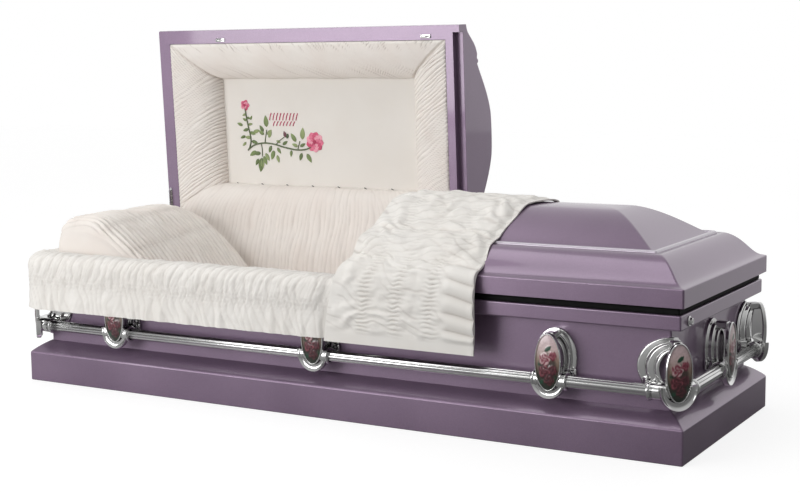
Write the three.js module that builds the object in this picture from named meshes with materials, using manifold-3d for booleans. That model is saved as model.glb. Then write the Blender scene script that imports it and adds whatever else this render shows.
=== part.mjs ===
// Funeral casket with a two-part hinged lid, shown with the head lid open.
// Millimetres, +Z up. X runs along the length with the foot end at +X, the viewing side faces -Y,
// and the origin is the middle of the underside.
import * as THREE from 'three';
import { mergeVertices } from 'three/addons/utils/BufferGeometryUtils.js';
import Module from 'manifold-3d';

const wasm = await Module();
wasm.setup();

// Driving dimensions
const LENGTH = 2134;
const WIDTH = 711;
const SHEET = 1.5;
const TOUCH = 0.3;

const BASE_FACE = 87.5;
const BASE_TOP = 124;
const BASE_FLANGE = 30;
const WALL_INSET = 50;

const RAIL_LOW = 330;
const RAIL_TOP = 369;
const RAIL_INSET = 14;
const RAIL_INNER = 52;
const GASKET_INSET = 20;
const GASKET_WIDTH = 12;

const LID_LOW = 388;
const LID_INSET = 4;
const RIM_HEIGHT = 47;
const LEDGE_INSET = 31;
const OVOLO_TOP = [100, 117];
const BEAD_INSET = 121;
const BEAD_RADIUS = 6;
const SLOPE_TOP = [273, 197];
const CROWN = 205;
const FLANGE_INNER = 49;
const SPLIT_X = 107;
const SPLIT_GAP = 2;
const SPLIT_FLANGE = 27;
const RABBET_WIDTH = 23;
const RABBET_DEPTH = 24;
const RABBET_END = 27;

const HINGE_Y = WIDTH / 2;
const HINGE_Z = LID_LOW - 0.7;
const HINGE_RADIUS = 3.5;
const OPEN_ANGLE = 87;

const BED_TOP = 236;
const LINING_TOP = 365;
const LINING_INNER = 66;
const PANEL_DEPTH = 90;
const ROLL_FRONT = 117;
const ROLL_SIDE = 150;

const BAR_RADIUS = 16;
const BAR_FLUTES = 8;
const BAR_OUT = 37;
const BAR_Z = 178;
const ELBOW_RADIUS = 61;
const LUG_X = 712;
const MEDAL_Z = 227;
const MEDAL_HALF = [32, 70.5];
const FRAME_HALF = [36.5, 89];
const WING_HALF = [49.5, 40];
const PLATE_HALF = [58, 78];
const PLATE_OUT = 9;

const HEM_Z = 235;
const BAND_END_X = 50;

const HALF_L = LENGTH / 2;
const HALF_W = WIDTH / 2;
const WALL_Y = HALF_W - WALL_INSET;
const WALL_X = HALF_L - WALL_INSET;

// Finishes
const finish = (color, roughness, metalness) => new THREE.MeshStandardMaterial({ color, roughness, metalness });
const ORCHID = finish(0x8a7690, 0.3, 0.6);
const CHROME = finish(0xd8d6d2, 0.12, 1);
const RUBBER = finish(0x0e0d0e, 0.8, 0);
const CREPE = finish(0xded6d0, 0.85, 0);
const ENAMEL = finish(0x8c2a3c, 0.35, 0);

// Closed triangle mesh helpers
function surface(points, faces) {
  const geometry = new THREE.BufferGeometry();
  geometry.setAttribute('position', new THREE.Float32BufferAttribute(points.flat(), 3));
  geometry.setIndex(faces.flatMap((face) => face.slice(2).flatMap((v, k) => [face[0], face[k + 1], v])));
  return outward(welded(geometry));
}

function welded(source) {
  const bare = source.clone();
  bare.deleteAttribute('normal');
  bare.deleteAttribute('uv');
  const geometry = mergeVertices(bare, 1e-3);
  const index = [...geometry.index.array];
  const kept = [];
  for (let k = 0; k < index.length; k += 3) {
    const [a, b, c] = index.slice(k, k + 3);
    if (a !== b && b !== c && c !== a) kept.push(a, b, c);
  }
  geometry.setIndex(kept);
  return geometry;
}

// Turns a closed surface so that the volume it encloses is positive.
function outward(geometry) {
  const at = (k) => new THREE.Vector3().fromBufferAttribute(geometry.attributes.position, k);
  const index = [...geometry.index.array];
  let volume = 0;
  for (let k = 0; k < index.length; k += 3) {
    const [a, b, c] = index.slice(k, k + 3).map(at);
    volume += a.dot(b.cross(c));
  }
  if (volume < 0) geometry.setIndex(index.reverse());
  return geometry;
}

function solid(source) {
  const geometry = welded(source);
  return new wasm.Manifold(new wasm.Mesh({
    numProp: 3,
    vertProperties: new Float32Array(geometry.attributes.position.array),
    triVerts: new Uint32Array(geometry.index.array),
  }));
}

function shaped(body) {
  const mesh = body.getMesh();
  const geometry = new THREE.BufferGeometry();
  geometry.setAttribute('position', new THREE.BufferAttribute(new Float32Array(mesh.vertProperties), 3));
  geometry.setIndex(new THREE.BufferAttribute(new Uint32Array(mesh.triVerts), 1));
  geometry.computeVertexNormals();
  return geometry;
}

function block(low, high) {
  const size = high.map((value, k) => value - low[k]);
  const box = new THREE.BoxGeometry(...size);
  return box.translate(...low.map((value, k) => value + size[k] / 2));
}

// Rings of points joined in order; the first and last ring are capped.
function loft(rings) {
  const count = rings[0].length;
  const last = (rings.length - 1) * count;
  const faces = [];
  for (let r = 0; r + 1 < rings.length; r += 1) {
    for (let k = 0; k < count; k += 1) {
      const next = (k + 1) % count;
      const [a, b] = [r * count, (r + 1) * count];
      faces.push([a + k, a + next, b + next, b + k]);
    }
  }
  const low = capFaces(rings[0]).map((face) => [...face].reverse());
  const high = capFaces(rings.at(-1)).map((face) => face.map((v) => v + last));
  return surface(rings.flat(), [...faces, ...low, ...high]);
}

// Triangles of a flat outline, in its own order, worked out in the plane in which its area is largest.
function capFaces(ring) {
  const planes = [[0, 1], [1, 2], [2, 0]];
  const area = ([i, j]) => ring.reduce((sum, p, k) => {
    const q = ring[(k + 1) % ring.length];
    return sum + p[i] * q[j] - q[i] * p[j];
  }, 0);
  const plane = planes.reduce((best, other) => (Math.abs(area(other)) > Math.abs(area(best)) ? other : best));
  const flat = ring.map((p) => new THREE.Vector2(p[plane[0]], p[plane[1]]));
  if (area(plane) > 0) return THREE.ShapeUtils.triangulateShape(flat, []);
  const faces = THREE.ShapeUtils.triangulateShape([...flat].reverse(), []);
  return faces.map((face) => face.map((v) => ring.length - 1 - v).reverse());
}

// A closed section of (inset, z) points carried round the rectangle, mitred at its corners.
function framed(section, halfL = HALF_L, halfW = HALF_W) {
  const corners = [[-1, -1], [1, -1], [1, 1], [-1, 1]];
  const points = corners.flatMap(([sx, sy]) => section.map(
    ([i, z]) => [sx * (halfL - i), sy * (halfW - i), z],
  ));
  const n = section.length;
  const faces = corners.flatMap((_, c) => section.map((__, k) => {
    const [a, b, next] = [c * n, ((c + 1) % 4) * n, (k + 1) % n];
    return [a + k, b + k, b + next, a + next];
  }));
  return surface(points, faces);
}

const curve = (from, c1, c2, to, steps) => new THREE.CubicBezierCurve(
  ...[from, c1, c2, to].map(([x, y]) => new THREE.Vector2(x, y)),
).getPoints(steps).map((p) => [p.x, p.y]);

function ellipse(halfX, halfZ, steps, z = 0) {
  return Array.from({ length: steps }, (_, k) => {
    const turn = (2 * Math.PI * k) / steps;
    return [halfX * Math.cos(turn), z + halfZ * Math.sin(turn)];
  });
}

// An (x, z) outline standing from y = front (outer) to y = back, its front face drawn in by an edge bevel.
function plate(outline, front, back, bevel = 0) {
  const centre = [0, 1].map((k) => outline.reduce((sum, p) => sum + p[k], 0) / outline.length);
  const drawn = outline.map((p) => {
    const reach = Math.hypot(p[0] - centre[0], p[1] - centre[1]);
    return p.map((value, k) => centre[k] + (value - centre[k]) * (1 - bevel / reach));
  });
  const ring = (points, y) => points.map(([x, z]) => [x, y, z]);
  const rings = [ring(outline, back)];
  if (bevel > 0) rings.push(ring(outline, front + bevel));
  rings.push(ring(bevel > 0 ? drawn : outline, front));
  return loft(rings);
}

// Pressed steel body
const baseSlope = curve([2, BASE_FACE + 4], [14, 103], [32, 116], [WALL_INSET - 2, BASE_TOP], 7);
const baseOuter = [[BASE_FLANGE, 0], [0, 0], [0, BASE_FACE], ...baseSlope];
const underSlope = baseSlope.filter(([inset]) => inset < WALL_INSET - 4).reverse();
const baseInner = [
  [WALL_INSET - TOUCH, BASE_TOP], [WALL_INSET - TOUCH, BASE_TOP - 4],
  ...underSlope.map(([inset, z]) => [inset + 0.6 * SHEET, z - 1.1 * SHEET]),
  [SHEET, BASE_FACE - 2], [SHEET, SHEET], [BASE_FLANGE, SHEET],
];
const baseMoulding = framed([...baseOuter, ...baseInner]);

const bottomPan = block(
  [-(HALF_L - BASE_FLANGE - TOUCH), -(HALF_W - BASE_FLANGE - TOUCH), 0],
  [HALF_L - BASE_FLANGE - TOUCH, HALF_W - BASE_FLANGE - TOUCH, SHEET],
);

const wallLow = SHEET + TOUCH;
const bodyShell = framed([
  [WALL_INSET, wallLow], [WALL_INSET + SHEET, wallLow],
  [WALL_INSET + SHEET, RAIL_LOW - TOUCH], [WALL_INSET, RAIL_LOW - TOUCH],
]);

const RAIL_EDGE = 4;
const bodyRail = framed([
  [RAIL_INNER, RAIL_LOW], [RAIL_INNER, RAIL_LOW + SHEET], [RAIL_INSET + SHEET, RAIL_LOW + SHEET + RAIL_EDGE],
  [RAIL_INSET + SHEET, RAIL_TOP - SHEET - RAIL_EDGE], [RAIL_INSET + SHEET + RAIL_EDGE, RAIL_TOP - SHEET],
  [RAIL_INNER - SHEET, RAIL_TOP - SHEET], [RAIL_INNER - SHEET, RAIL_TOP - 14], [RAIL_INNER, RAIL_TOP - 14],
  [RAIL_INNER, RAIL_TOP], [RAIL_INSET + RAIL_EDGE, RAIL_TOP], [RAIL_INSET, RAIL_TOP - RAIL_EDGE],
  [RAIL_INSET, RAIL_LOW + RAIL_EDGE], [RAIL_INSET + RAIL_EDGE, RAIL_LOW],
]);

const gasket = framed([
  [GASKET_INSET, RAIL_TOP + TOUCH], [GASKET_INSET + GASKET_WIDTH, RAIL_TOP + TOUCH],
  [GASKET_INSET + GASKET_WIDTH - 2, LID_LOW - TOUCH], [GASKET_INSET + 2, LID_LOW - TOUCH],
]);

// Lid: one moulded section carried round front, hipped end and back, and cut square at the split
const beadArc = Array.from({ length: 7 }, (_, k) => {
  const turn = Math.PI * (1 - k / 6);
  return [BEAD_INSET + BEAD_RADIUS * Math.cos(turn), OVOLO_TOP[1] - 1 + BEAD_RADIUS * Math.sin(turn)];
});
const lidProfile = [
  [LID_INSET, 0], [LID_INSET, RIM_HEIGHT], [LID_INSET + 3, RIM_HEIGHT + 2], [LEDGE_INSET, RIM_HEIGHT + 5],
  ...curve([LEDGE_INSET + 4, RIM_HEIGHT + 8], [54, 66], [60, 114], OVOLO_TOP, 7),
  [BEAD_INSET - BEAD_RADIUS - 4, OVOLO_TOP[1] - 3],
  ...beadArc,
  ...curve([BEAD_INSET + BEAD_RADIUS + 3, OVOLO_TOP[1]], [165, 136], [215, 178], SLOPE_TOP, 7),
  ...curve([SLOPE_TOP[0] + 12, 200.5], [305, 204], [325, 204.6], [HALF_W, CROWN], 4),
];

function lidMass(profile, splitX, side) {
  const points = profile.flatMap(([i, v]) => {
    const hipX = side * (HALF_L - i);
    const y = HALF_W - i;
    const z = LID_LOW + v;
    return [[splitX, -y, z], [hipX, -y, z], [hipX, y, z], [splitX, y, z]];
  });
  const faces = [[3, 2, 1, 0]];
  for (let k = 0; k + 1 < profile.length; k += 1) {
    for (let c = 0; c < 3; c += 1) {
      faces.push([4 * k + c, 4 * k + c + 1, 4 * k + c + 5, 4 * k + c + 4]);
    }
  }
  const rising = profile.map((_, k) => 4 * k);
  const outline = [...rising, ...rising.slice(0, -1).reverse().map((k) => k + 3)];
  const cut = capFaces(outline.map((k) => points[k])).map((face) => face.map((k) => outline[k]));
  return surface(points, [...faces, ...cut]);
}

function lidShell(splitX, side, rabbetted) {
  const inward = (distance) => splitX + side * distance;
  const span = (a, b) => [Math.min(a, b), Math.max(a, b)];
  const underBead = [BEAD_INSET - BEAD_RADIUS - 4, OVOLO_TOP[1] - 5.5];
  const plain = ([i]) => i >= LEDGE_INSET && (i <= OVOLO_TOP[0] || i > BEAD_INSET + BEAD_RADIUS + 1);
  const hollowProfile = [...lidProfile.filter(plain).map(([i, v]) => [i, v - SHEET - 0.5]), underBead]
    .sort((a, b) => a[0] - b[0]);
  const cavity = [[LID_INSET + SHEET, SHEET], [LID_INSET + SHEET, RIM_HEIGHT - 1], ...hollowProfile];
  let outer = solid(lidMass(lidProfile, splitX, side));
  let inner = solid(lidMass(cavity, inward(SHEET), side));
  if (rabbetted) {
    const cut = (grown) => {
      const [x0, x1] = span(inward(-5), inward(RABBET_WIDTH + grown));
      const reach = HALF_W - RABBET_END + grown;
      return solid(block([x0, -reach, LID_LOW - 5], [x1, reach, LID_LOW + RABBET_DEPTH + grown]));
    };
    outer = outer.subtract(cut(0));
    inner = inner.subtract(cut(SHEET));
  }
  const [x0, x1] = span(inward(RABBET_WIDTH + SPLIT_FLANGE), side * (HALF_L - FLANGE_INNER));
  const mouth = HALF_W - FLANGE_INNER;
  const opening = solid(block([x0, -mouth, LID_LOW - 5], [x1, mouth, LID_LOW + SHEET + 1]));
  return outer.subtract(inner).subtract(opening);
}

const headLidShell = shaped(lidShell(SPLIT_X, -1, true));

// The foot lid carries a rain gutter that tucks into the head lid's rabbet.
const footSplit = SPLIT_X + SPLIT_GAP;
const GUTTER_WIDTH = 20;
const GUTTER_HEIGHT = 15;
const gutterReach = HALF_W - RABBET_END - 4;
const GUTTER_LOW = LID_LOW + 4;
const gutter = solid(block(
  [footSplit - GUTTER_WIDTH, -gutterReach, GUTTER_LOW],
  [footSplit + SHEET / 2, gutterReach, GUTTER_LOW + SHEET],
)).add(solid(block(
  [footSplit - GUTTER_WIDTH, -gutterReach, GUTTER_LOW],
  [footSplit - GUTTER_WIDTH + SHEET, gutterReach, GUTTER_LOW + GUTTER_HEIGHT],
)));
const footLidShell = shaped(lidShell(footSplit, 1, false).add(gutter));

// Lid linings: four padded rolls mitred round a flat, recessed panel
const rollBound = {
  left: -(HALF_L - FLANGE_INNER) + 1,
  right: SPLIT_X - RABBET_WIDTH - SPLIT_FLANGE - 1,
  front: -(HALF_W - FLANGE_INNER) + 1,
  back: HALF_W - FLANGE_INNER - 1,
};
const rollSection = [
  ...Array.from({ length: 9 }, (_, k) => {
    const turn = (Math.PI / 2) * (k / 8);
    return [Math.sin(turn), 3 + (PANEL_DEPTH - 6) * (1 - Math.cos(turn))];
  }),
  [1, PANEL_DEPTH + 3], [0.5, PANEL_DEPTH + 2], [0.2, 66], [0, 40],
];

function lidRolls(bound, sideWidth, frontWidth) {
  const at = (t, cornerX, cornerY) => [
    cornerX < 0 ? bound.left + t * sideWidth : bound.right - t * sideWidth,
    cornerY < 0 ? bound.front + t * frontWidth : bound.back - t * frontWidth,
  ];
  const ring = (cornerX, cornerY, along) => rollSection.map(([t, v]) => {
    const [x, y] = at(t, cornerX, cornerY);
    return [x + along[0] * 0.6, y + along[1] * 0.6, LID_LOW + v];
  });
  return {
    front: loft([ring(-1, -1, [1, 0]), ring(1, -1, [-1, 0])]),
    right: loft([ring(1, -1, [0, 1]), ring(1, 1, [0, -1])]),
    back: loft([ring(1, 1, [-1, 0]), ring(-1, 1, [1, 0])]),
    left: loft([ring(-1, 1, [0, -1]), ring(-1, -1, [0, 1])]),
  };
}

function liningPanel(bound, sideWidth, frontWidth) {
  const low = [bound.left + sideWidth + 1, bound.front + frontWidth + 1, LID_LOW + PANEL_DEPTH - 4];
  const high = [bound.right - sideWidth - 1, bound.back - frontWidth - 1, LID_LOW + PANEL_DEPTH + 4];
  return block(low, high);
}

const headRolls = lidRolls(rollBound, ROLL_SIDE, ROLL_FRONT);
const footBound = {
  ...rollBound,
  left: footSplit + RABBET_WIDTH + SPLIT_FLANGE + 1,
  right: HALF_L - FLANGE_INNER - 1,
};
const FOOT_LINING_DEPTH = 40;
const footLining = block(
  [footBound.left, footBound.front, LID_LOW + 4],
  [footBound.right, footBound.back, LID_LOW + FOOT_LINING_DEPTH],
);

// Small metal fittings on the head lid
const KEEPER_INSET = 37.5;
const KEEPER_X = [-801, -11];
const KEEPER_DROP = 13;

function keeper(x) {
  const y = -(HALF_W - KEEPER_INSET);
  const foot = block([x - 16, y - 5, LID_LOW - 2], [x + 16, y + 5, LID_LOW - TOUCH]);
  const tongue = block([x - 8, y - 2, LID_LOW - KEEPER_DROP], [x + 8, y + 2, LID_LOW - 1]);
  const eye = block([x - 4, y - 9, LID_LOW - KEEPER_DROP + 3], [x + 4, y + 9, LID_LOW - 5]);
  return shaped(solid(foot).add(solid(tongue)).subtract(solid(eye)));
}

const STAY_X = -(HALF_L - 14);
const STAY_Y = [HALF_W - 163, HALF_W - 92];
const stayPart = (halfX, trim, low, high) => solid(block(
  [STAY_X - halfX, STAY_Y[0] + trim, LID_LOW - low], [STAY_X + halfX, STAY_Y[1] - trim, LID_LOW - high],
));
const lidStay = shaped(stayPart(5, 0, 2, TOUCH).add(stayPart(1.5, 8, 12, 1)));

// Piano hinge: knuckles taken in turn by the body leaf and the lid leaf
const KNUCKLE_COUNT = 5;
const LEAF = 1.6;

function hingeHalf(x0, x1, onBody) {
  const pitch = (x1 - x0) / KNUCKLE_COUNT;
  const face = HALF_W - (onBody ? RAIL_INSET : LID_INSET) + TOUCH;
  const [low, high] = onBody ? [RAIL_LOW + 8, HINGE_Z - 2] : [HINGE_Z + 6, LID_LOW + RIM_HEIGHT - 12];
  let half = solid(block([x0, face, low], [x1, face + LEAF, high]));
  for (let k = onBody ? 0 : 1; k < KNUCKLE_COUNT; k += 2) {
    const [from, to] = [x0 + pitch * k + 1, x0 + pitch * (k + 1) - 1];
    const knuckle = new THREE.CylinderGeometry(HINGE_RADIUS, HINGE_RADIUS, to - from, 8);
    knuckle.rotateZ(Math.PI / 2).translate((from + to) / 2, HINGE_Y, HINGE_Z);
    const web = onBody
      ? block([from, face, HINGE_Z - 3], [to, HINGE_Y, HINGE_Z - 1.5])
      : block([from, face, HINGE_Z - 1], [to, face + LEAF, HINGE_Z + 8]);
    half = half.add(solid(knuckle)).add(solid(web));
  }
  return shaped(half);
}

const hingeRun = {
  head: [-HALF_L + 60, SPLIT_X - 60],
  foot: [footSplit + 60, HALF_L - 60],
};

// Bed, pillow and wall linings
const bed = block(
  [-(HALF_L - LINING_INNER - 4), -(HALF_W - LINING_INNER - 4), SHEET + TOUCH],
  [HALF_L - LINING_INNER - 4, HALF_W - LINING_INNER - 4, BED_TOP],
);

const LINING_OUT = WALL_INSET + SHEET + 1.5;
const sideLining = (side) => block(
  [-(HALF_L - LINING_INNER), side < 0 ? -(HALF_W - LINING_OUT) : HALF_W - LINING_INNER, BED_TOP - 60],
  [HALF_L - LINING_INNER, side < 0 ? -(HALF_W - LINING_INNER) : HALF_W - LINING_OUT, LINING_TOP],
);
const endLining = (side) => block(
  [side < 0 ? -(HALF_L - LINING_OUT) : HALF_L - LINING_INNER + 1, -(HALF_W - LINING_OUT), BED_TOP - 60],
  [side < 0 ? -(HALF_L - LINING_INNER + 1) : HALF_L - LINING_OUT, HALF_W - LINING_OUT, LINING_TOP],
);

const PILLOW_HALF_Y = 283;
const PILLOW_HEAD_X = -(HALF_L - LINING_INNER - 4);
const PILLOW_FOOT_X = -625;
const PILLOW_TOP = 500;
const pillowSection = [
  ...curve([PILLOW_FOOT_X, BED_TOP + 12], [PILLOW_FOOT_X, 300], [-790, 470], [-880, 492], 6),
  ...curve([-915, PILLOW_TOP], [-965, PILLOW_TOP + 4], [PILLOW_HEAD_X, 480], [PILLOW_HEAD_X, 420], 5),
  [PILLOW_HEAD_X, BED_TOP + 20], [PILLOW_HEAD_X + 18, BED_TOP + TOUCH], [PILLOW_FOOT_X - 16, BED_TOP + TOUCH],
];
const pillowMiddle = [-850, BED_TOP + 60];
const pillow = loft(Array.from({ length: 9 }, (_, r) => {
  const share = -Math.cos((Math.PI * r) / 8);
  const scale = (1 - 0.92 * Math.abs(share) ** 6) ** 0.5;
  return pillowSection.map(([x, z]) => [
    pillowMiddle[0] + (x - pillowMiddle[0]) * (0.55 + 0.45 * scale),
    share * PILLOW_HALF_Y,
    Math.max(BED_TOP + TOUCH, pillowMiddle[1] + (z - pillowMiddle[1]) * scale),
  ]);
}));

// Fabric band that turns over the front rail and the head end
const BAND_OUT = 24;
const BAND_THICK = 8;
const bandSection = [
  [-BAND_OUT, HEM_Z], [-BAND_OUT, 368], [-BAND_OUT + 7, 388], [-2, 398], [24, 401], [48, 399], [61, 391],
  [68, 372], [57, 371], [50, 387], [26, 390], [10, 389], [-6, 382],
  [-BAND_OUT + BAND_THICK, 364], [-BAND_OUT + BAND_THICK, HEM_Z],
];
const bandRing = (place) => bandSection.map(([i, z]) => [...place(i), z]);
const BAND_BACK_Y = HALF_W - 70;
const extendover = loft([
  bandRing((i) => [BAND_END_X, -(HALF_W - i)]),
  bandRing((i) => [-(HALF_L - i), -(HALF_W - i)]),
  bandRing((i) => [-(HALF_L - i), BAND_BACK_Y]),
]);

// Overlay cloth on the foot lid, hanging over its front
const THROW_THICK = 10;
const THROW_LIFT = 3;
const THROW_BACK_Y = 70;
const THROW_LEFT = { hem: 52, rim: footSplit + 1 };
const THROW_RIGHT = { hem: 492, crown: 560 };

function throwCloth() {
  const bridges = [[LID_INSET + 4, LEDGE_INSET + 19], [OVOLO_TOP[0], BEAD_INSET + 44]];
  const bridged = ([i]) => bridges.some(([from, to]) => i > from && i < to);
  const beadTop = [BEAD_INSET, OVOLO_TOP[1] + BEAD_RADIUS];
  const crest = [...lidProfile.filter((point) => point[1] >= RIM_HEIGHT && !bridged(point)), beadTop]
    .sort((a, b) => a[0] - b[0]);
  const over = crest.map(([i, v]) => [-(HALF_W - i), LID_LOW + v]);
  const beyond = [[THROW_BACK_Y / 2, LID_LOW + CROWN], [THROW_BACK_Y, LID_LOW + CROWN]];
  const hangY = -(HALF_W + 12);
  const hang = [[hangY, HEM_Z], [hangY, LID_LOW - 10], [hangY + 8, LID_LOW + RIM_HEIGHT - 6]];
  const under = [...hang, ...over, ...beyond];
  const normal = (k) => {
    const a = under[Math.max(0, k - 1)];
    const b = under[Math.min(under.length - 1, k + 1)];
    const length = Math.hypot(b[0] - a[0], b[1] - a[1]);
    return [-(b[1] - a[1]) / length, (b[0] - a[0]) / length];
  };
  const raised = (distance) => under.map(
    ([y, z], k) => [y + normal(k)[0] * distance, z + normal(k)[1] * distance],
  );
  const lower = raised(THROW_LIFT);
  const upper = raised(THROW_LIFT + THROW_THICK);
  const sections = [...lower.keys()].map((k) => {
    const rise = THREE.MathUtils.smoothstep(under[k][1], HEM_Z, LID_LOW - 10);
    const across = THREE.MathUtils.smoothstep(under[k][0], -HALF_W, 0);
    const left = THREE.MathUtils.lerp(THROW_LEFT.hem, THROW_LEFT.rim, rise);
    const right = THREE.MathUtils.lerp(THROW_RIGHT.hem, THROW_RIGHT.crown, across);
    return [[left, ...lower[k]], [right, ...lower[k]], [right, ...upper[k]], [left, ...upper[k]]];
  });
  return loft(sections);
}

// Swing-free bar hardware: fluted bars carried by cast arms with an oval medallion
function barShape() {
  const count = BAR_FLUTES * 3;
  return Array.from({ length: count }, (_, k) => {
    const turn = (2 * Math.PI * k) / count;
    const radius = BAR_RADIUS - 0.9 + 0.9 * Math.cos(BAR_FLUTES * turn);
    return [radius * Math.cos(turn), radius * Math.sin(turn)];
  });
}

const straightBar = (half) => loft([-half, half].map((x) => barShape().map(([a, b]) => [x, a, BAR_Z + b])));

const frontBarHalf = HALF_L - WALL_INSET + BAR_OUT - ELBOW_RADIUS - 4;
const endBarHalf = HALF_W - WALL_INSET + BAR_OUT - ELBOW_RADIUS - 4;

const tube = (radius, from, to, y) => {
  const cylinder = new THREE.CylinderGeometry(radius, radius, to - from, TUBE_SIDES);
  return cylinder.rotateZ(Math.PI / 2).translate((from + to) / 2, y, BAR_Z);
};

const SOCKET_RADIUS = BAR_RADIUS + 6;
const OVAL_SIDES = 12;
const TUBE_SIDES = 8;
const BAR_HOLE = (BAR_RADIUS + TOUCH) / Math.cos(Math.PI / TUBE_SIDES);
const FRAME_THICK = 10;
const FRAME_RECESS = 4;

// Oval frame with a crescent at the bar, and the recess that its medallion sits in.
// The outer face is at y = front.
function medalFrame(front) {
  const oval = plate(ellipse(...FRAME_HALF, OVAL_SIDES, MEDAL_Z), front, front + FRAME_THICK, 3);
  const crescent = plate(ellipse(...WING_HALF, OVAL_SIDES, BAR_Z + 6), front + 2, front + FRAME_THICK + 2);
  return solid(oval).add(solid(crescent));
}

const medalRecess = (front) => solid(plate(
  ellipse(MEDAL_HALF[0] + TOUCH, MEDAL_HALF[1] + TOUCH, OVAL_SIDES, MEDAL_Z), front - 20, front + FRAME_RECESS,
));

const medallion = (front) => {
  const outline = (scale) => ellipse(MEDAL_HALF[0] * scale, MEDAL_HALF[1] * scale, OVAL_SIDES, MEDAL_Z);
  const rise = [[1, FRAME_RECESS - TOUCH], [1, 1.5], [0.78, -1.5], [0.35, -3.8]];
  return loft(rise.map(([scale, y]) => outline(scale).map(([x, z]) => [x, front + y, z])));
};

// Oval wall plate with a bevelled edge
const wallPlate = (wall, back) => solid(plate(
  ellipse(...PLATE_HALF, OVAL_SIDES, MEDAL_Z + 4), wall - PLATE_OUT, back, 7,
));

function sideLug() {
  const bar = -BAR_OUT;
  const front = bar - BAR_RADIUS - 6;
  const strut = block([-20, bar, BAR_Z - 17], [20, -2, BAR_Z + 17]);
  return shaped(wallPlate(0, -TOUCH)
    .add(solid(strut))
    .add(solid(tube(SOCKET_RADIUS, -34, 34, bar)))
    .add(medalFrame(front))
    .subtract(medalRecess(front))
    .subtract(solid(tube(BAR_HOLE, -60, 60, bar))));
}

// Corner arm, drawn with its outward direction along -Y and the body's corner edge at y = 0
const DIAGONAL = Math.SQRT1_2;
const elbowCentre = (HALF_L - WALL_INSET) - (HALF_L - WALL_INSET + BAR_OUT - ELBOW_RADIUS);
const elbowMiddle = elbowCentre / DIAGONAL;

function cornerLug() {
  const reach = ELBOW_RADIUS - elbowMiddle;
  const front = -(reach + BAR_RADIUS + 5);
  const ringAt = (turn, radius, outward) => Array.from({ length: TUBE_SIDES }, (_, k) => {
    const phase = (2 * Math.PI * k) / TUBE_SIDES;
    const from = ELBOW_RADIUS + radius * Math.cos(phase);
    const [x, y] = [from * Math.sin(turn), elbowMiddle - from * Math.cos(turn)];
    return [x + outward * Math.cos(turn), y + outward * Math.sin(turn), BAR_Z + radius * Math.sin(phase)];
  });
  const quarter = Math.PI / 4;
  const SLEEVE = 20;
  const turns = Array.from({ length: 5 }, (_, k) => -quarter + (2 * quarter * k) / 4);
  const run = (radius, extra) => loft([
    ringAt(-quarter, radius, -extra),
    ...turns.map((turn) => ringAt(turn, radius, 0)),
    ringAt(quarter, radius, extra),
  ]);
  const sockets = [-1, 1].map((side) => solid(loft(
    (side < 0 ? [-60, 0] : [0, 60]).map((outward) => ringAt(side * quarter, BAR_HOLE, outward)),
  )));
  const strut = block([-18, -reach, BAR_Z - 15], [18, 30, BAR_Z + 15]);
  const bodyCorner = block([-150, -150, 0], [150, 150, 400]).rotateZ(quarter)
    .translate(0, 150 / DIAGONAL - TOUCH, 0);
  return shaped(wallPlate(-6, 40)
    .add(solid(strut))
    .add(solid(run(SOCKET_RADIUS, SLEEVE)))
    .add(medalFrame(front))
    .subtract(medalRecess(front))
    .subtract(sockets[0]).subtract(sockets[1])
    .subtract(solid(bodyCorner)));
}

const endLock = shaped(
  solid(new THREE.CylinderGeometry(13, 13, 3, 16).rotateZ(Math.PI / 2).translate(1.5 + TOUCH, 0, 0))
    .add(solid(new THREE.CylinderGeometry(8, 9, 8, 16).rotateZ(-Math.PI / 2).translate(6, 0, 0)))
    .subtract(solid(block([7, -1.5, -5], [12, 1.5, 5]))),
);
const LOCK_Y = -283;
const LOCK_Z = 348;

// Assembly
const casket = new THREE.Group();
const hingeAt = new THREE.Vector3(0, HINGE_Y, HINGE_Z);
const headLid = new THREE.Group();
headLid.position.copy(hingeAt);
headLid.rotation.x = -THREE.MathUtils.degToRad(OPEN_ANGLE);
const headClosed = new THREE.Group();
headClosed.position.copy(hingeAt).negate();
headLid.add(headClosed);
casket.add(headLid);

function place(group, name, geometry, material) {
  const mesh = new THREE.Mesh(geometry, material);
  mesh.name = name;
  group.add(mesh);
  return mesh;
}

place(casket, 'base_moulding', baseMoulding, ORCHID);
place(casket, 'bottom_pan', bottomPan, ORCHID);
place(casket, 'body_shell', bodyShell, ORCHID);
place(casket, 'body_rail', bodyRail, ORCHID);
place(casket, 'gasket', gasket, RUBBER);
place(casket, 'bed', bed, CREPE);
place(casket, 'pillow', pillow, CREPE);
place(casket, 'lining_front', sideLining(-1), CREPE);
place(casket, 'lining_back', sideLining(1), CREPE);
place(casket, 'lining_head', endLining(-1), CREPE);
place(casket, 'lining_foot', endLining(1), CREPE);
place(casket, 'extendover', extendover, CREPE);
place(casket, 'hinge_body_head', hingeHalf(...hingeRun.head, true), CHROME);
place(casket, 'hinge_body_foot', hingeHalf(...hingeRun.foot, true), CHROME);

const lock = place(casket, 'end_lock', endLock, CHROME);
lock.position.set(HALF_L - RAIL_INSET, LOCK_Y, LOCK_Z);

const bars = [
  ['bar_front', 0, frontBarHalf, HALF_W], ['bar_foot', 90, endBarHalf, HALF_L],
  ['bar_back', 180, frontBarHalf, HALF_W], ['bar_head', 270, endBarHalf, HALF_L],
];
for (const [name, turn, half, reach] of bars) {
  const holder = new THREE.Group();
  holder.rotation.z = THREE.MathUtils.degToRad(turn);
  place(holder, name, straightBar(half), CHROME).position.y = -(reach - WALL_INSET + BAR_OUT);
  casket.add(holder);
}

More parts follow.
